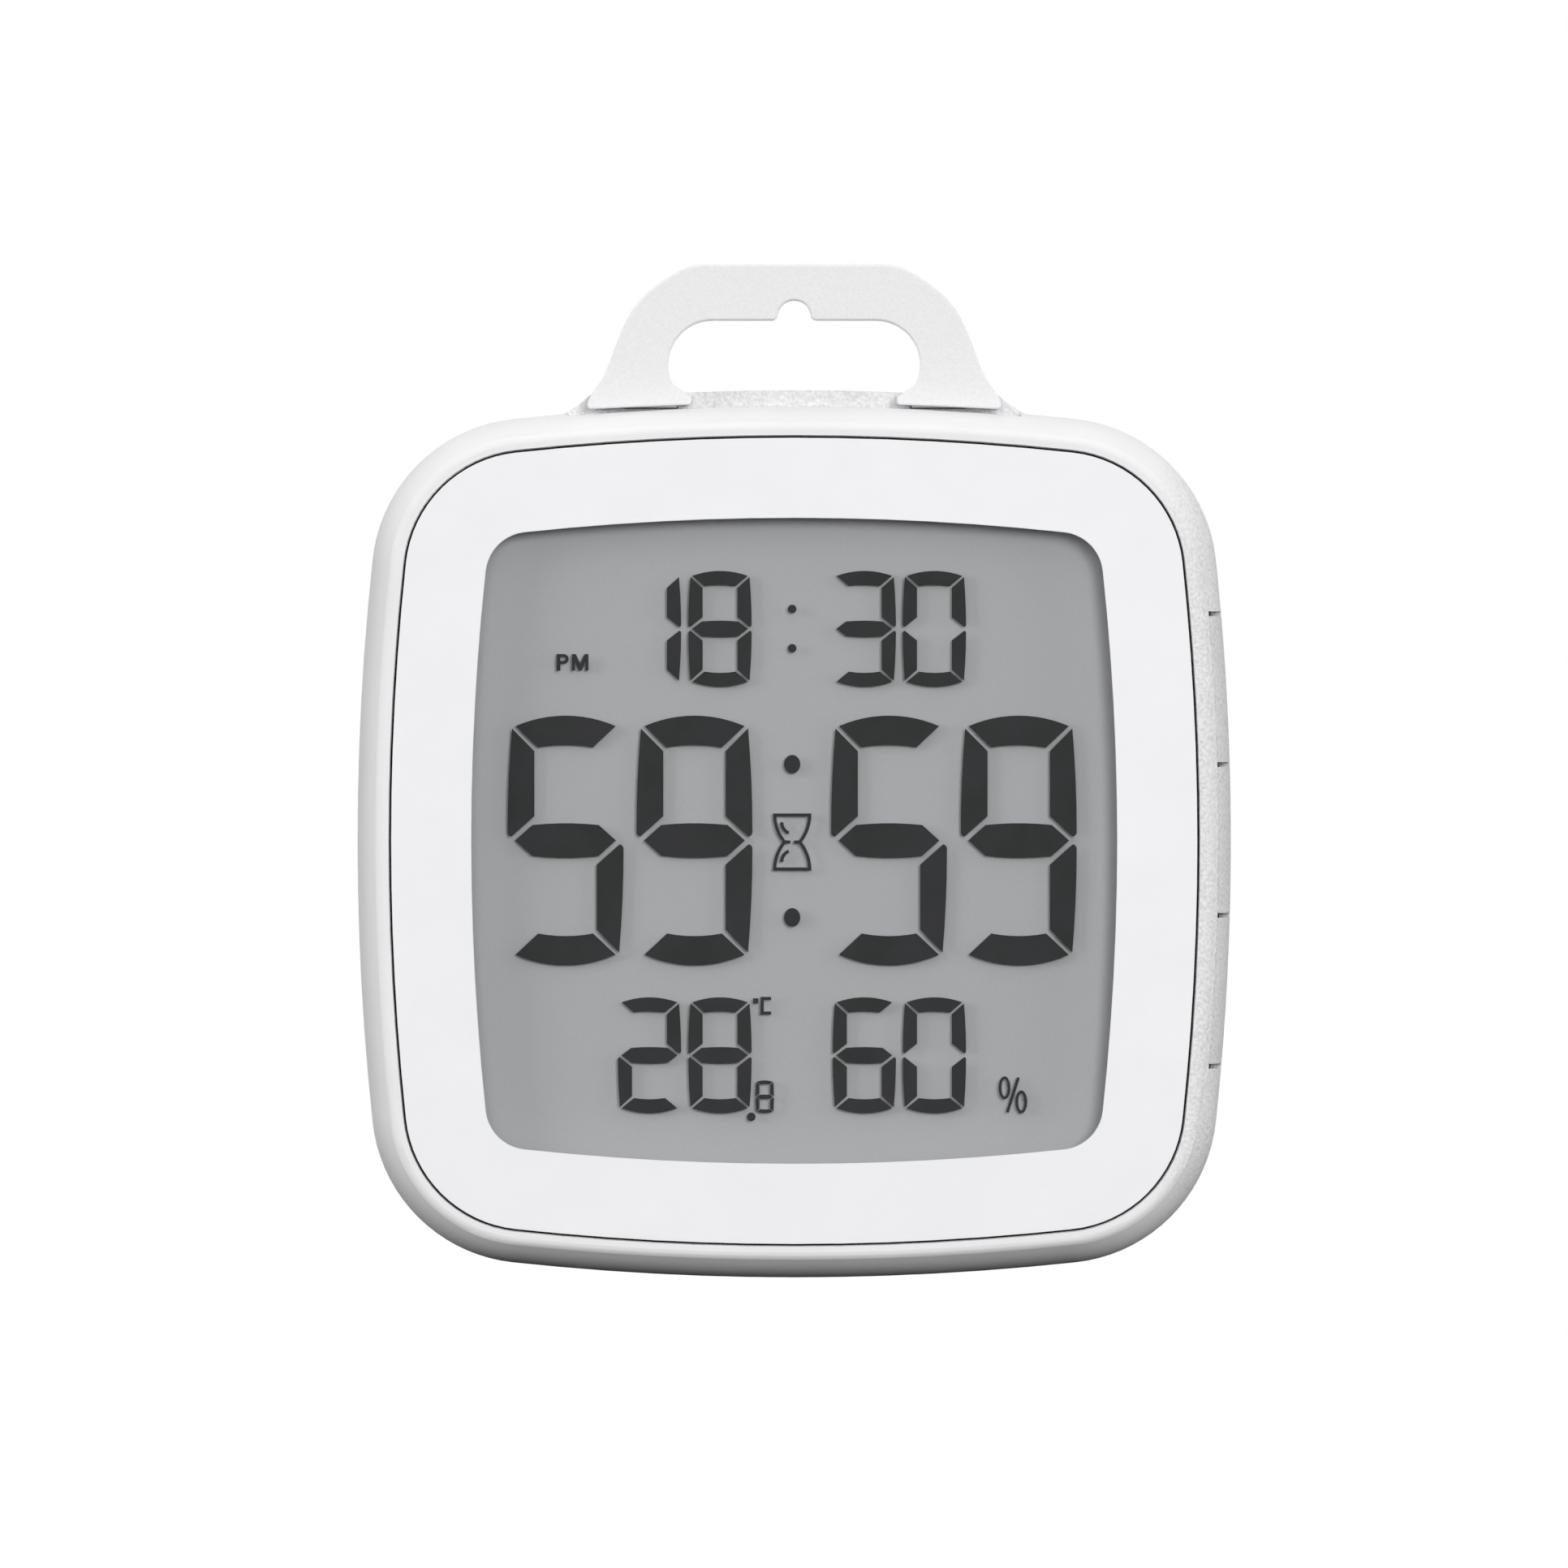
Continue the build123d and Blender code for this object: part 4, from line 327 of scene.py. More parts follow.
# %% [markdown]
# The clouds are laid out in the clock's own metres, so a size of 0.3 mm is a grain
# of 0.3 mm on every piece. A stretch below 1 draws the grain out along that axis.
# Noise seldom leaves the span from 0.3 to 0.7, so that span is opened up to the two
# ends that a colour or a roughness should run between.

# %% Lay out a cloud of grain
CLOUD_LOW = 0.3
CLOUD_HIGH = 0.7


def grain(tree, size, detail=2.0, stretch=(1, 1, 1)):
    place = tree.nodes.new("ShaderNodeTexCoord")
    scaled = tree.nodes.new("ShaderNodeMapping")
    scaled.inputs["Scale"].default_value = stretch
    cloud = tree.nodes.new("ShaderNodeTexNoise")
    cloud.inputs["Scale"].default_value = 1 / size
    cloud.inputs["Detail"].default_value = detail
    tree.links.new(place.outputs["Object"], scaled.inputs["Vector"])
    tree.links.new(scaled.outputs["Vector"], cloud.inputs["Vector"])
    return cloud.outputs["Fac"]


def between(tree, cloud, low, high, start=CLOUD_LOW, end=CLOUD_HIGH):
    span = tree.nodes.new("ShaderNodeMapRange")
    span.inputs["From Min"].default_value = start
    span.inputs["From Max"].default_value = end
    span.inputs["To Min"].default_value = low
    span.inputs["To Max"].default_value = high
    tree.links.new(cloud, span.inputs["Value"])
    return span.outputs["Result"]


print("a grain of 0.3 mm is a noise scale of", round(1 / (0.3 * MM)))

# %% [markdown]
# A mask of 0 to 1 mixes two tones. The tones are colours, or whatever another part
# of the finish gives. A clouded colour and a worn roughness are the two uses that
# come back in almost every finish.

# %% Colour and wear by clouds
def two_tone(tree, mask, first, second):
    blend = tree.nodes.new("ShaderNodeMix")
    blend.data_type = "RGBA"
    tree.links.new(mask, blend.inputs["Factor"])
    for name, tone in (("A", first), ("B", second)):
        if isinstance(tone, tuple):
            blend.inputs[name].default_value = tone
        else:
            tree.links.new(tone, blend.inputs[name])
    return blend.outputs["Result"]


def tinted(tree, skin, mask, first, second):
    tones = two_tone(tree, mask, screen_colour(*first), screen_colour(*second))
    tree.links.new(tones, skin.inputs["Base Color"])


def clouded(tree, skin, cloud, first, second):
    tinted(tree, skin, between(tree, cloud, 0, 1), first, second)


def worn(tree, skin, cloud, smooth, rough):
    tree.links.new(between(tree, cloud, smooth, rough), skin.inputs["Roughness"])


print("clouds are opened up from", CLOUD_LOW, "to", CLOUD_HIGH)

# %% [markdown]
# Grain that can be felt is a bump, as deep as it is on the real object. Bumps lie
# one on top of the other, and a mask can hold one back. Moulded edges are never
# sharp, so a Bevel node rounds them for the light alone.

# %% Press a cloud into the surface
EDGE_SAMPLES = 4


def pressed_in(tree, skin, cloud, depth, under=None, mask=None):
    bump = tree.nodes.new("ShaderNodeBump")
    bump.inputs["Distance"].default_value = depth
    bump.inputs["Strength"].default_value = 1.0
    tree.links.new(cloud, bump.inputs["Height"])
    if under is not None:
        tree.links.new(under, bump.inputs["Normal"])
    if mask is not None:
        tree.links.new(mask, bump.inputs["Strength"])
    tree.links.new(bump.outputs["Normal"], skin.inputs["Normal"])
    return bump.outputs["Normal"]


def eased_edges(tree, radius):
    soft = tree.nodes.new("ShaderNodeBevel")
    soft.samples = EDGE_SAMPLES
    soft.inputs["Radius"].default_value = radius
    return soft.outputs["Normal"]


print("edges are eased with", EDGE_SAMPLES, "samples")

# %% [markdown]
# ## Front panel
# The flat border round the display is a smooth moulded white panel, almost without
# texture. Up close such a panel shows a very shallow orange peel and the faintest
# clouding of the white. A cloud of 9 mm shifts the white, one of 2 mm the roughness,
# and one of 3 mm is the peel, six microns deep.

# %% Finish the front panel
tree, skin = start_finish(
    "white_panel", roughness=0.32, colour=screen_colour(240, 240, 243), shine=0.25)
clouded(tree, skin, grain(tree, size=9 * MM, detail=3),
        first=(239, 239, 242), second=(242, 242, 244))
worn(tree, skin, grain(tree, size=2 * MM), smooth=0.28, rough=0.36)
pressed_in(tree, skin, grain(tree, size=3 * MM), depth=0.006 * MM,
           under=eased_edges(tree, radius=0.12 * MM))
put_on("white_panel", "front_panel")

# %% [markdown]
# ## Front housing
# The rim is moulded in a white plastic from a lightly spark-eroded tool. Its grain
# is fine, except on the right side: there the keys run on into the rim, and the tool
# was etched with the same coarse grain as the keys. A mask that follows X turns that
# coarse grain up over the last millimetres.

# %% Finish the front housing
KEY_SIDE_STARTS = 44 * MM
KEY_SIDE_FULL = 49.5 * MM
COARSE_LUMP = 0.42 * MM


def along_x(tree, start, end):
    place = tree.nodes.new("ShaderNodeTexCoord")
    axes = tree.nodes.new("ShaderNodeSeparateXYZ")
    tree.links.new(place.outputs["Object"], axes.inputs["Vector"])
    return between(tree, axes.outputs["X"], 0, 1, start, end)


tree, skin = start_finish(
    "white_housing", roughness=0.5, colour=screen_colour(241, 241, 242), shine=0.0)
key_side = along_x(tree, KEY_SIDE_STARTS, KEY_SIDE_FULL)
lumps = grain(tree, size=COARSE_LUMP, detail=2)
smooth_white = two_tone(
    tree, between(tree, grain(tree, size=12 * MM, detail=3), 0, 1),
    first=screen_colour(239, 239, 240), second=screen_colour(243, 243, 244))
speckled_white = two_tone(
    tree, between(tree, lumps, 0, 1),
    first=screen_colour(218, 218, 219), second=screen_colour(246, 246, 247))
both_whites = two_tone(tree, key_side, smooth_white, speckled_white)
tree.links.new(both_whites, skin.inputs["Base Color"])
worn(tree, skin, grain(tree, size=0.5 * MM), smooth=0.4, rough=0.55)
peel = pressed_in(tree, skin, grain(tree, size=0.5 * MM, detail=1), depth=0.012 * MM,
                  under=eased_edges(tree, radius=0.1 * MM))
peel = pressed_in(tree, skin, grain(tree, size=0.2 * MM, detail=1), depth=0.006 * MM,
                  under=peel)
pressed_in(tree, skin, lumps, depth=0.12 * MM, under=peel, mask=key_side)
put_on("white_housing", "front_housing")

# %% [markdown]
# ## Rear housing, keys and battery door
# These are moulded with a much coarser grain, which the photograph shows as dark
# and pale speckles on the shoulder behind the handle and down the right side. The
# lumps are about 0.4 mm wide, and a finer cloud of 0.18 mm breaks them up.

# %% Finish the rear mouldings
tree, skin = start_finish(
    "white_rear", roughness=0.6, colour=screen_colour(225, 225, 226), shine=0.0)
lumps = grain(tree, size=COARSE_LUMP, detail=2)
clouded(tree, skin, lumps, first=(211, 211, 212), second=(237, 237, 238))
worn(tree, skin, lumps, smooth=0.5, rough=0.7)
coarse = pressed_in(tree, skin, lumps, depth=0.13 * MM,
                    under=eased_edges(tree, radius=0.15 * MM))
pressed_in(tree, skin, grain(tree, size=0.18 * MM, detail=1), depth=0.03 * MM,
           under=coarse)
put_on("white_rear", "rear_housing", "battery_door",
       "side_key_1", "side_key_2", "side_key_3")

# %% [markdown]
# ## Handle and stand
# The handle is a separate moulding in a slightly greyer white with a very fine
# grain. The folding stand at the back comes from the same plastic.

# %% Finish the handle and the stand
tree, skin = start_finish(
    "white_handle", roughness=0.5, colour=screen_colour(238, 238, 239), shine=0.05)
fine = grain(tree, size=0.3 * MM, detail=2)
clouded(tree, skin, fine, first=(235, 235, 236), second=(241, 241, 242))
worn(tree, skin, grain(tree, size=1.5 * MM), smooth=0.45, rough=0.6)
pressed_in(tree, skin, fine, depth=0.03 * MM)
put_on("white_handle", "hanging_handle", "rear_stand")

# %% [markdown]
# ## The window pane
# The pane is clear and flat. Real glass in Cycles would block the light of the lamp
# from the display behind it, so the pane is a mix: mostly Transparent, which lets
# every ray straight through, and some gloss by Fresnel at a slant, on its outside
# only. Seen straight on, a pane sends back an even three parts in a hundred of the
# white room. So thin a mirror leaves speckles on the black digits, so that part is
# taken off the gloss here, and the same pale veil is painted into the colours behind
# the pane instead: a painted reflection.

# %% Finish the window pane
PANE_STRAIGHT_ON = 0.031
PANE_IOR = 1.42

pane_finish = bpy.data.materials.new("clear_pane")
pane_finish.use_nodes = True
tree = pane_finish.node_tree
tree.nodes.clear()
clear = tree.nodes.new("ShaderNodeBsdfTransparent")
gloss = tree.nodes.new("ShaderNodeBsdfPrincipled")
gloss.inputs["Base Color"].default_value = WHITE
gloss.inputs["Metallic"].default_value = 1.0
worn(tree, gloss, grain(tree, size=6 * MM), smooth=0.03, rough=0.07)
mirror = tree.nodes.new("ShaderNodeFresnel")
mirror.inputs["IOR"].default_value = PANE_IOR
# The reflection below this straight-on share is cut here and painted into the reflector
# and ink colours.
slanting = between(tree, mirror.outputs["Fac"], 0, 1, start=PANE_STRAIGHT_ON, end=1)
side = tree.nodes.new("ShaderNodeNewGeometry")
outside = joined(tree, "SUBTRACT", 1.0, side.outputs["Backfacing"])
blend = tree.nodes.new("ShaderNodeMixShader")
out = tree.nodes.new("ShaderNodeOutputMaterial")
tree.links.new(joined(tree, "MULTIPLY", slanting, outside), blend.inputs["Fac"])
tree.links.new(clear.outputs["BSDF"], blend.inputs[1])
tree.links.new(gloss.outputs["BSDF"], blend.inputs[2])
tree.links.new(blend.outputs["Shader"], out.inputs["Surface"])
finishes["clear_pane"] = pane_finish
put_on("clear_pane", "window_pane")

# %% [markdown]
# ## The grey reflector
# Behind the liquid crystal lies a foil that throws light back with a cool, silvery
# grey. It is dull, not a mirror, with a fine sparkle. Its grey also holds a painted
# reflection: the even pale veil that the pane in front of it sends back straight on.

# %% Finish the reflector
# These greys include the pane's straight-on reflection, painted in.
tree, skin = start_finish(
    "grey_reflector", roughness=0.55, colour=screen_colour(169, 170, 173), shine=0.2)
sparkle = grain(tree, size=0.25 * MM, detail=1)
clouded(tree, skin, sparkle, first=(167, 168, 171), second=(170, 171, 173))
pressed_in(tree, skin, sparkle, depth=0.004 * MM)
put_on("grey_reflector", "lcd_reflector")

# %% [markdown]
# ## The segments
# The dark digits are liquid crystal that blocks the light. The crystal itself is
# almost black. The dark grey written here is that black with a painted reflection on
# it, the pale veil that the pane sends back straight on. The ink is matt, and
# slightly warmer and cooler in places.

# %% Finish the segments
# These greys are near-black crystal plus the pane's straight-on reflection, painted in.
tree, skin = start_finish(
    "display_ink", roughness=0.7, colour=screen_colour(57, 58, 59), shine=0.0)
clouded(tree, skin, grain(tree, size=5 * MM, detail=2),
        first=(55, 57, 56), second=(60, 60, 62))
put_on("display_ink", "lcd_segments")

# %% [markdown]
# ## Display glass
# The liquid crystal sits between two thin sheets of glass. Light crosses glass
# faces only so many times before Blender gives up and calls it shadow, and here it
# would have to cross them going in and coming out. So the middle of the two sheets,
# which nobody can see, is left open, and the part that has edges is built: a ground
# and chamfered border of glass, wider than the part of it that the housing hides.

# %% Finish the display glass
GLASS_IOR = 1.5
GLASS_CLARITY = 0.85

tree, skin = start_finish(
    "display_glass", roughness=0.15, colour=(0.80, 0.88, 0.86, 1), shine=0.5)
skin.inputs["IOR"].default_value = GLASS_IOR
skin.inputs["Transmission Weight"].default_value = GLASS_CLARITY
worn(tree, skin, grain(tree, size=0.3 * MM), smooth=0.1, rough=0.3)
pressed_in(tree, skin, grain(tree, size=0.2 * MM), depth=0.004 * MM)
print("display_glass lets through", GLASS_CLARITY, "of the light")

# %% [markdown]
# A border is a flat ring of eight corners in front and eight behind. Four faces
# close the front, four the back, four the outer edge and four the inner one. Then
# every edge where two faces meet squarely, which is tested as a turn of more than one
# radian, is chamfered.

# %% Build a glass border with ground edges
GLASS_OPEN_HALF = 40.3 * MM
GLASS_RIM = 0.35 * MM
GLASS_CHAMFER = 0.12 * MM
CHAMFER_STEPS = 2
SQUARE_ENOUGH = 1


def glass_border(name, node, body):
    low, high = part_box(node)
    middle_z = clock_middle.z
    open_low = middle_z - GLASS_OPEN_HALF
    open_high = min(middle_z + GLASS_OPEN_HALF, high.z - GLASS_RIM)
    made = bmesh.new()
    for y in (low.y, high.y):
        made.verts.new((low.x, y, low.z))
        made.verts.new((high.x, y, low.z))
        made.verts.new((high.x, y, high.z))
        made.verts.new((low.x, y, high.z))
        made.verts.new((-GLASS_OPEN_HALF, y, open_low))
        made.verts.new((GLASS_OPEN_HALF, y, open_low))
        made.verts.new((GLASS_OPEN_HALF, y, open_high))
        made.verts.new((-GLASS_OPEN_HALF, y, open_high))
    made.verts.ensure_lookup_table()
    v = list(made.verts)
    for i in range(4):
        j = (i + 1) % 4
        made.faces.new((v[i], v[j], v[4 + j], v[4 + i]))
        made.faces.new((v[8 + j], v[8 + i], v[12 + i], v[12 + j]))
        made.faces.new((v[j], v[i], v[8 + i], v[8 + j]))
        made.faces.new((v[4 + i], v[4 + j], v[12 + j], v[12 + i]))
    bmesh.ops.recalc_face_normals(made, faces=made.faces)
    corners = [
        edge for edge in made.edges
        if len(edge.link_faces) == 2 and edge.calc_face_angle() > SQUARE_ENOUGH
    ]
    bmesh.ops.bevel(made, geom=corners, offset=GLASS_CHAMFER, segments=CHAMFER_STEPS,
                    affect="EDGES")
    mesh = bpy.data.meshes.new(name)
    made.to_mesh(mesh)
    made.free()
    mesh.materials.append(finishes["display_glass"])
    piece = bpy.data.objects.new(name, mesh)
    bpy.context.scene.collection.objects.link(piece)
    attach(piece, body)
    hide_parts(node)
    print(name, "faces", len(mesh.polygons))


glass_border("front_glass_border", "lcd_front_glass", "clock")
glass_border("rear_glass_border", "lcd_rear_glass", "clock")

# %% [markdown]
# ## Inside: foam tape, holder and contact rubber
# These never show while the clock is whole, but each still gets its real finish.
# The tape is black foam with open pores, the holder a grey moulding, and the
# contact rubber has black and pink stripes, one pair each quarter of a millimetre.
# Blender's wave repeats about three times in one unit of its scale, so a unit of
# 0.8 mm gives that quarter.

# %% Finish the tape and the holder
PORE = 0.4 * MM

tree, skin = start_finish(
    "black_foam", roughness=0.9, colour=screen_colour(32, 32, 33), shine=0.1)
pores = tree.nodes.new("ShaderNodeTexVoronoi")
pores.inputs["Scale"].default_value = 1 / PORE
place = tree.nodes.new("ShaderNodeTexCoord")
tree.links.new(place.outputs["Object"], pores.inputs["Vector"])
depths = pores.outputs["Distance"]
tinted(tree, skin, between(tree, depths, 0, 1, start=0.1, end=0.6),
       first=(18, 18, 18), second=(44, 44, 45))
pressed_in(tree, skin, depths, depth=0.05 * MM)
put_on("black_foam", "panel_tape")

tree, skin = start_finish(
    "grey_plastic", roughness=0.5, colour=screen_colour(150, 152, 154), shine=0.35)
clouded(tree, skin, grain(tree, size=4 * MM, detail=3),
        first=(146, 148, 150), second=(156, 158, 160))
pressed_in(tree, skin, grain(tree, size=0.4 * MM), depth=0.012 * MM,
           under=eased_edges(tree, radius=0.1 * MM))
put_on("grey_plastic", "lcd_holder")

# %% Stripe the contact rubber
STRIPE_UNIT = 0.8 * MM

tree, skin = start_finish(
    "pink_rubber", roughness=0.7, colour=screen_colour(214, 150, 158), shine=0.3)
place = tree.nodes.new("ShaderNodeTexCoord")
stripes = tree.nodes.new("ShaderNodeTexWave")
stripes.bands_direction = "X"
stripes.inputs["Scale"].default_value = 1 / STRIPE_UNIT
tree.links.new(place.outputs["Object"], stripes.inputs["Vector"])
tinted(tree, skin, between(tree, stripes.outputs["Fac"], 0, 1, start=0.45, end=0.55),
       first=(222, 160, 168), second=(30, 28, 30))
pressed_in(tree, skin, grain(tree, size=0.15 * MM), depth=0.01 * MM)
put_on("pink_rubber", "zebra_strip")

# %% [markdown]
# ## Inside: the circuit board
# A board is glass cloth under green lacquer. Copper tracks under the lacquer are a
# little paler. A brick pattern turned into thin lines gives the long parallel runs
# of the tracks, and the weave of the cloth is a fine bump. The pattern lies flat, so
# it is stood up against the board first and then turned to run askew.

# %% Finish the circuit board
TRACK_UNIT = 9 * MM
TRACK_WIDTH = 0.03
STOOD_UP = math.radians(90)
ASKEW = math.radians(45)

tree, skin = start_finish(
    "green_board", roughness=0.35, colour=screen_colour(28, 92, 58), shine=0.5)
place = tree.nodes.new("ShaderNodeTexCoord")
turned = tree.nodes.new("ShaderNodeMapping")
turned.inputs["Rotation"].default_value = (STOOD_UP, 0, ASKEW)
tracks = tree.nodes.new("ShaderNodeTexBrick")
tracks.inputs["Scale"].default_value = 1 / TRACK_UNIT
tracks.inputs["Mortar Size"].default_value = TRACK_WIDTH
tracks.inputs["Color1"].default_value = BLACK
tracks.inputs["Color2"].default_value = BLACK
tracks.inputs["Mortar"].default_value = WHITE
tree.links.new(place.outputs["Object"], turned.inputs["Vector"])
tree.links.new(turned.outputs["Vector"], tracks.inputs["Vector"])
tinted(tree, skin, tracks.outputs["Color"], first=(24, 84, 52), second=(52, 128, 82))
cloth = pressed_in(tree, skin, grain(tree, size=0.3 * MM), depth=0.006 * MM)
pressed_in(tree, skin, tracks.outputs["Color"], depth=0.03 * MM, under=cloth)
put_on("green_board", "main_board")

# %% [markdown]
# ## Inside: chip, crystal, sensor, switches and buzzer
# The chip sits under a drop of black epoxy, which dries with a soft shine. The
# crystal's can is tinned, the sensor is a white block with a port, the switches
# are black with white plungers, and the buzzer is a brass disc.

# %% Finish the chip, the crystal and the sensor
tree, skin = start_finish(
    "black_epoxy", roughness=0.25, colour=screen_colour(26, 26, 27), shine=0.5)
worn(tree, skin, grain(tree, size=1.2 * MM, detail=3), smooth=0.18, rough=0.4)
pressed_in(tree, skin, grain(tree, size=1.5 * MM, detail=2), depth=0.04 * MM)
put_on("black_epoxy", "clock_chip")

tree, skin = start_finish(
    "tin_can", roughness=0.3, colour=screen_colour(200, 200, 196), metal=1.0)
worn(tree, skin, grain(tree, size=0.6 * MM, detail=3), smooth=0.22, rough=0.42)
pressed_in(tree, skin, grain(tree, size=0.5 * MM, detail=3, stretch=(0.2, 1, 1)),
           depth=0.008 * MM)
put_on("tin_can", "quartz_crystal")

tree, skin = start_finish(
    "sensor_white", roughness=0.45, colour=screen_colour(232, 232, 226), shine=0.4)
clouded(tree, skin, grain(tree, size=1 * MM, detail=2),
        first=(226, 226, 220), second=(236, 236, 231))
pressed_in(tree, skin, grain(tree, size=0.2 * MM), depth=0.008 * MM)
put_on("sensor_white", "climate_sensor")

# %% Finish the switches
tree, skin = start_finish(
    "switch_black", roughness=0.4, colour=screen_colour(34, 34, 36), shine=0.4)
worn(tree, skin, grain(tree, size=0.8 * MM, detail=2), smooth=0.32, rough=0.5)
pressed_in(tree, skin, grain(tree, size=0.25 * MM), depth=0.01 * MM,
           under=eased_edges(tree, radius=0.08 * MM))
put_on("switch_black", "side_switch_1", "side_switch_2", "side_switch_3")

tree, skin = start_finish(
    "plunger_white", roughness=0.4, colour=screen_colour(228, 228, 224), shine=0.4)
clouded(tree, skin, grain(tree, size=0.8 * MM, detail=2),
        first=(222, 222, 218), second=(232, 232, 229))
pressed_in(tree, skin, grain(tree, size=0.2 * MM), depth=0.006 * MM,
           under=eased_edges(tree, radius=0.08 * MM))
put_on("plunger_white", "switch_plunger_1", "switch_plunger_2", "switch_plunger_3")

# %% Finish the buzzer
tree, skin = start_finish(
    "buzzer_brass", roughness=0.45, colour=screen_colour(176, 146, 88), metal=1.0)
clouded(tree, skin, grain(tree, size=3 * MM, detail=3),
        first=(160, 128, 70), second=(190, 160, 102))
worn(tree, skin, grain(tree, size=1 * MM, detail=3), smooth=0.38, rough=0.55)
pressed_in(tree, skin, grain(tree, size=0.4 * MM, detail=2, stretch=(1, 1, 0.15)),
           depth=0.006 * MM)
put_on("buzzer_brass", "piezo_buzzer")

# %% [markdown]
# ## Screws, pins and contacts
# Screws are zinc-plated steel, bluish and softly worn. The pins of the stand are
# plain drawn steel, and the contacts are nickel plated, which is warmer. All are
# metals, so only their colour, their roughness and faint marks have to be told.

# %% Finish the screws and the pins
tree, skin = start_finish(
    "screw_steel", roughness=0.45, colour=screen_colour(160, 162, 166), metal=1.0)
clouded(tree, skin, grain(tree, size=0.8 * MM, detail=3),
        first=(146, 148, 154), second=(174, 176, 179))
worn(tree, skin, grain(tree, size=0.5 * MM, detail=3), smooth=0.36, rough=0.55)
pressed_in(tree, skin, grain(tree, size=0.25 * MM), depth=0.008 * MM,
           under=eased_edges(tree, radius=0.06 * MM))
put_on("screw_steel", "case_screws", "board_screws", "handle_screws")

tree, skin = start_finish(
    "pin_steel", roughness=0.4, colour=screen_colour(176, 177, 180), metal=1.0)
worn(tree, skin, grain(tree, size=0.4 * MM, detail=2), smooth=0.3, rough=0.48)
pressed_in(tree, skin, grain(tree, size=0.15 * MM, detail=2, stretch=(0.1, 1, 1)),
           depth=0.004 * MM)
put_on("pin_steel", "stand_pins")

# %% Finish the contacts
tree, skin = start_finish(
    "contact_plate", roughness=0.28, colour=screen_colour(212, 206, 192), metal=1.0)
clouded(tree, skin, grain(tree, size=2 * MM, detail=3),
        first=(200, 193, 178), second=(218, 213, 200))
worn(tree, skin, grain(tree, size=0.7 * MM, detail=3), smooth=0.2, rough=0.38)
pressed_in(tree, skin, grain(tree, size=0.2 * MM, detail=2, stretch=(1, 1, 0.1)),
           depth=0.006 * MM, under=eased_edges(tree, radius=0.05 * MM))
put_on("contact_plate", "link_contact", "positive_terminal", "negative_terminal")

# %% [markdown]
# ## Seals
# The seals are soft grey rubber with a dusty bloom, paler in patches.

# %% Finish the seals
tree, skin = start_finish(
    "grey_seal", roughness=0.7, colour=screen_colour(120, 122, 124), shine=0.25)
clouded(tree, skin, grain(tree, size=2.5 * MM, detail=3),
        first=(108, 110, 112), second=(134, 136, 138))
worn(tree, skin, grain(tree, size=1 * MM), smooth=0.6, rough=0.82)
pressed_in(tree, skin, grain(tree, size=0.3 * MM), depth=0.012 * MM)
put_on("grey_seal", "housing_seal", "door_seal")

# %% [markdown]
# ## Battery cells
# A cell is a steel can in a printed plastic sleeve. The sleeve stops short of both
# ends, where bare metal shows. The material finds where it is along the cell from
# the X coordinate: bare ends, a coloured band near the plus end, a plain sleeve.
# The two cells lie head to tail, so each band is measured from the cell's own end.
# A Color Ramp with hard steps holds the colours, and a second one says which part
# is metal.

# %% Step a colour along a cell
CELL_BARE_END = 1.3 * MM
CELL_BAND = 13 * MM
CELL_METAL = screen_colour(205, 204, 200)
CELL_PRINT = screen_colour(196, 122, 44)
CELL_SLEEVE = screen_colour(46, 52, 60)


def stepped(tree, where, steps):
    ramp = tree.nodes.new("ShaderNodeValToRGB")
    ramp.color_ramp.interpolation = "CONSTANT"
    for position, _ in steps[1:-1]:
        ramp.color_ramp.elements.new(position)
    for element, (position, colour) in zip(ramp.color_ramp.elements, steps):
        element.position = position
        element.color = colour
    tree.links.new(where, ramp.inputs["Fac"])
    return ramp.outputs["Color"]


print("bare ends of", CELL_BARE_END / MM, "mm and a band of", CELL_BAND / MM, "mm")

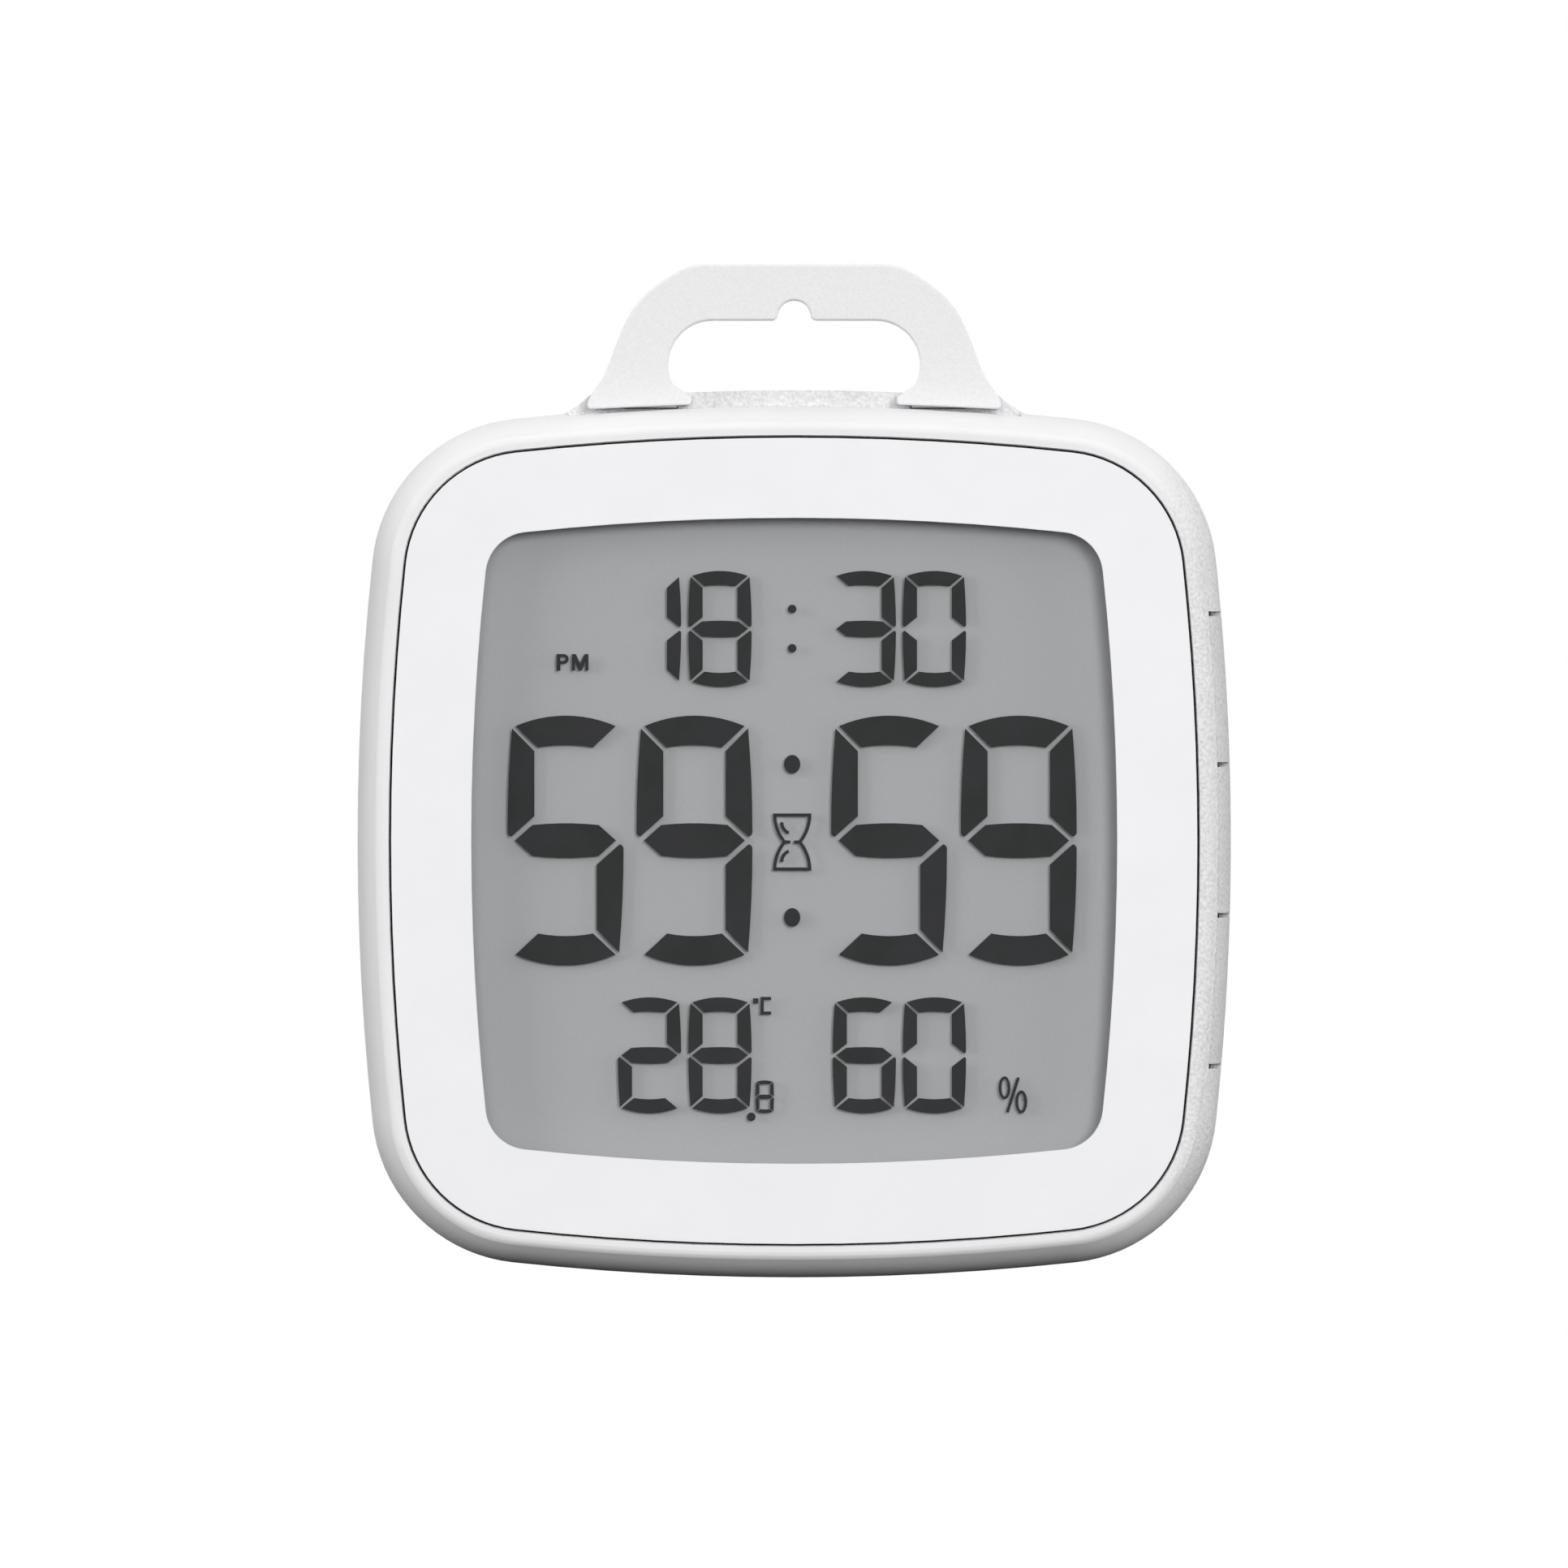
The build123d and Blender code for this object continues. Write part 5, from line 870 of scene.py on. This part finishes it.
# %% Finish the battery cells
def cell_sleeve(slot, node, plus_side):
    tree, skin = start_finish(
        slot, roughness=0.3, colour=screen_colour(44, 62, 88), shine=0.5)
    low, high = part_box(node)
    length = high.x - low.x
    where = along_x(tree, low.x, high.x)
    bare = CELL_BARE_END / length
    wide = CELL_BAND / length
    if plus_side > 0:
        middle = [(bare, CELL_SLEEVE), (1 - wide, CELL_PRINT)]
    else:
        middle = [(bare, CELL_PRINT), (wide, CELL_SLEEVE)]
    marks = stepped(tree, where, [(0, CELL_METAL), *middle, (1 - bare, CELL_METAL)])
    metal = stepped(tree, where, [(0, WHITE), (bare, BLACK), (1 - bare, WHITE)])
    tree.links.new(marks, skin.inputs["Base Color"])
    tree.links.new(metal, skin.inputs["Metallic"])
    worn(tree, skin, grain(tree, size=2 * MM, detail=3), smooth=0.22, rough=0.36)
    pressed_in(tree, skin, grain(tree, size=3 * MM, detail=2, stretch=(0.2, 1, 1)),
               depth=0.01 * MM)


cell_sleeve("cell_wrap", "battery_cell_1", plus_side=1)
put_on("cell_wrap", "battery_cell_1")
cell_sleeve("cell_wrap_turned", "battery_cell_2", plus_side=-1)
put_on("cell_wrap_turned", "battery_cell_2")

# %% [markdown]
# ## Suction cups
# The cups are soft clear vinyl. Light passes through them a little blurred, so a
# high transmission with a cool tint, some roughness and faint flow lines do it.

# %% Finish the suction cups
VINYL_IOR = 1.42
VINYL_CLARITY = 0.92

tree, skin = start_finish(
    "cup_rubber", roughness=0.1, colour=(0.93, 0.95, 0.955, 1), shine=0.5)
skin.inputs["IOR"].default_value = VINYL_IOR
skin.inputs["Transmission Weight"].default_value = VINYL_CLARITY
worn(tree, skin, grain(tree, size=6 * MM, detail=1), smooth=0.06, rough=0.16)
pressed_in(tree, skin, grain(tree, size=9 * MM, detail=0), depth=0.02 * MM)
put_on("cup_rubber", "suction_cup_left", "suction_cup_right")

# %% [markdown]
# ## Check that nothing is left plain
# Each solid should now carry one of the finishes above. Any solid left without one
# is printed, and so is the box of the solids.

# %% Check and finish
plain = [
    name for name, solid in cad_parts.items()
    if not solid.hide_render and not any(
        paint in finishes.values() for paint in solid.data.materials)
]
print("left plain:", plain)
bpy.context.view_layer.update()
print("box of the solids ", [[round(v, 4) for v in c] for c in solid_box])
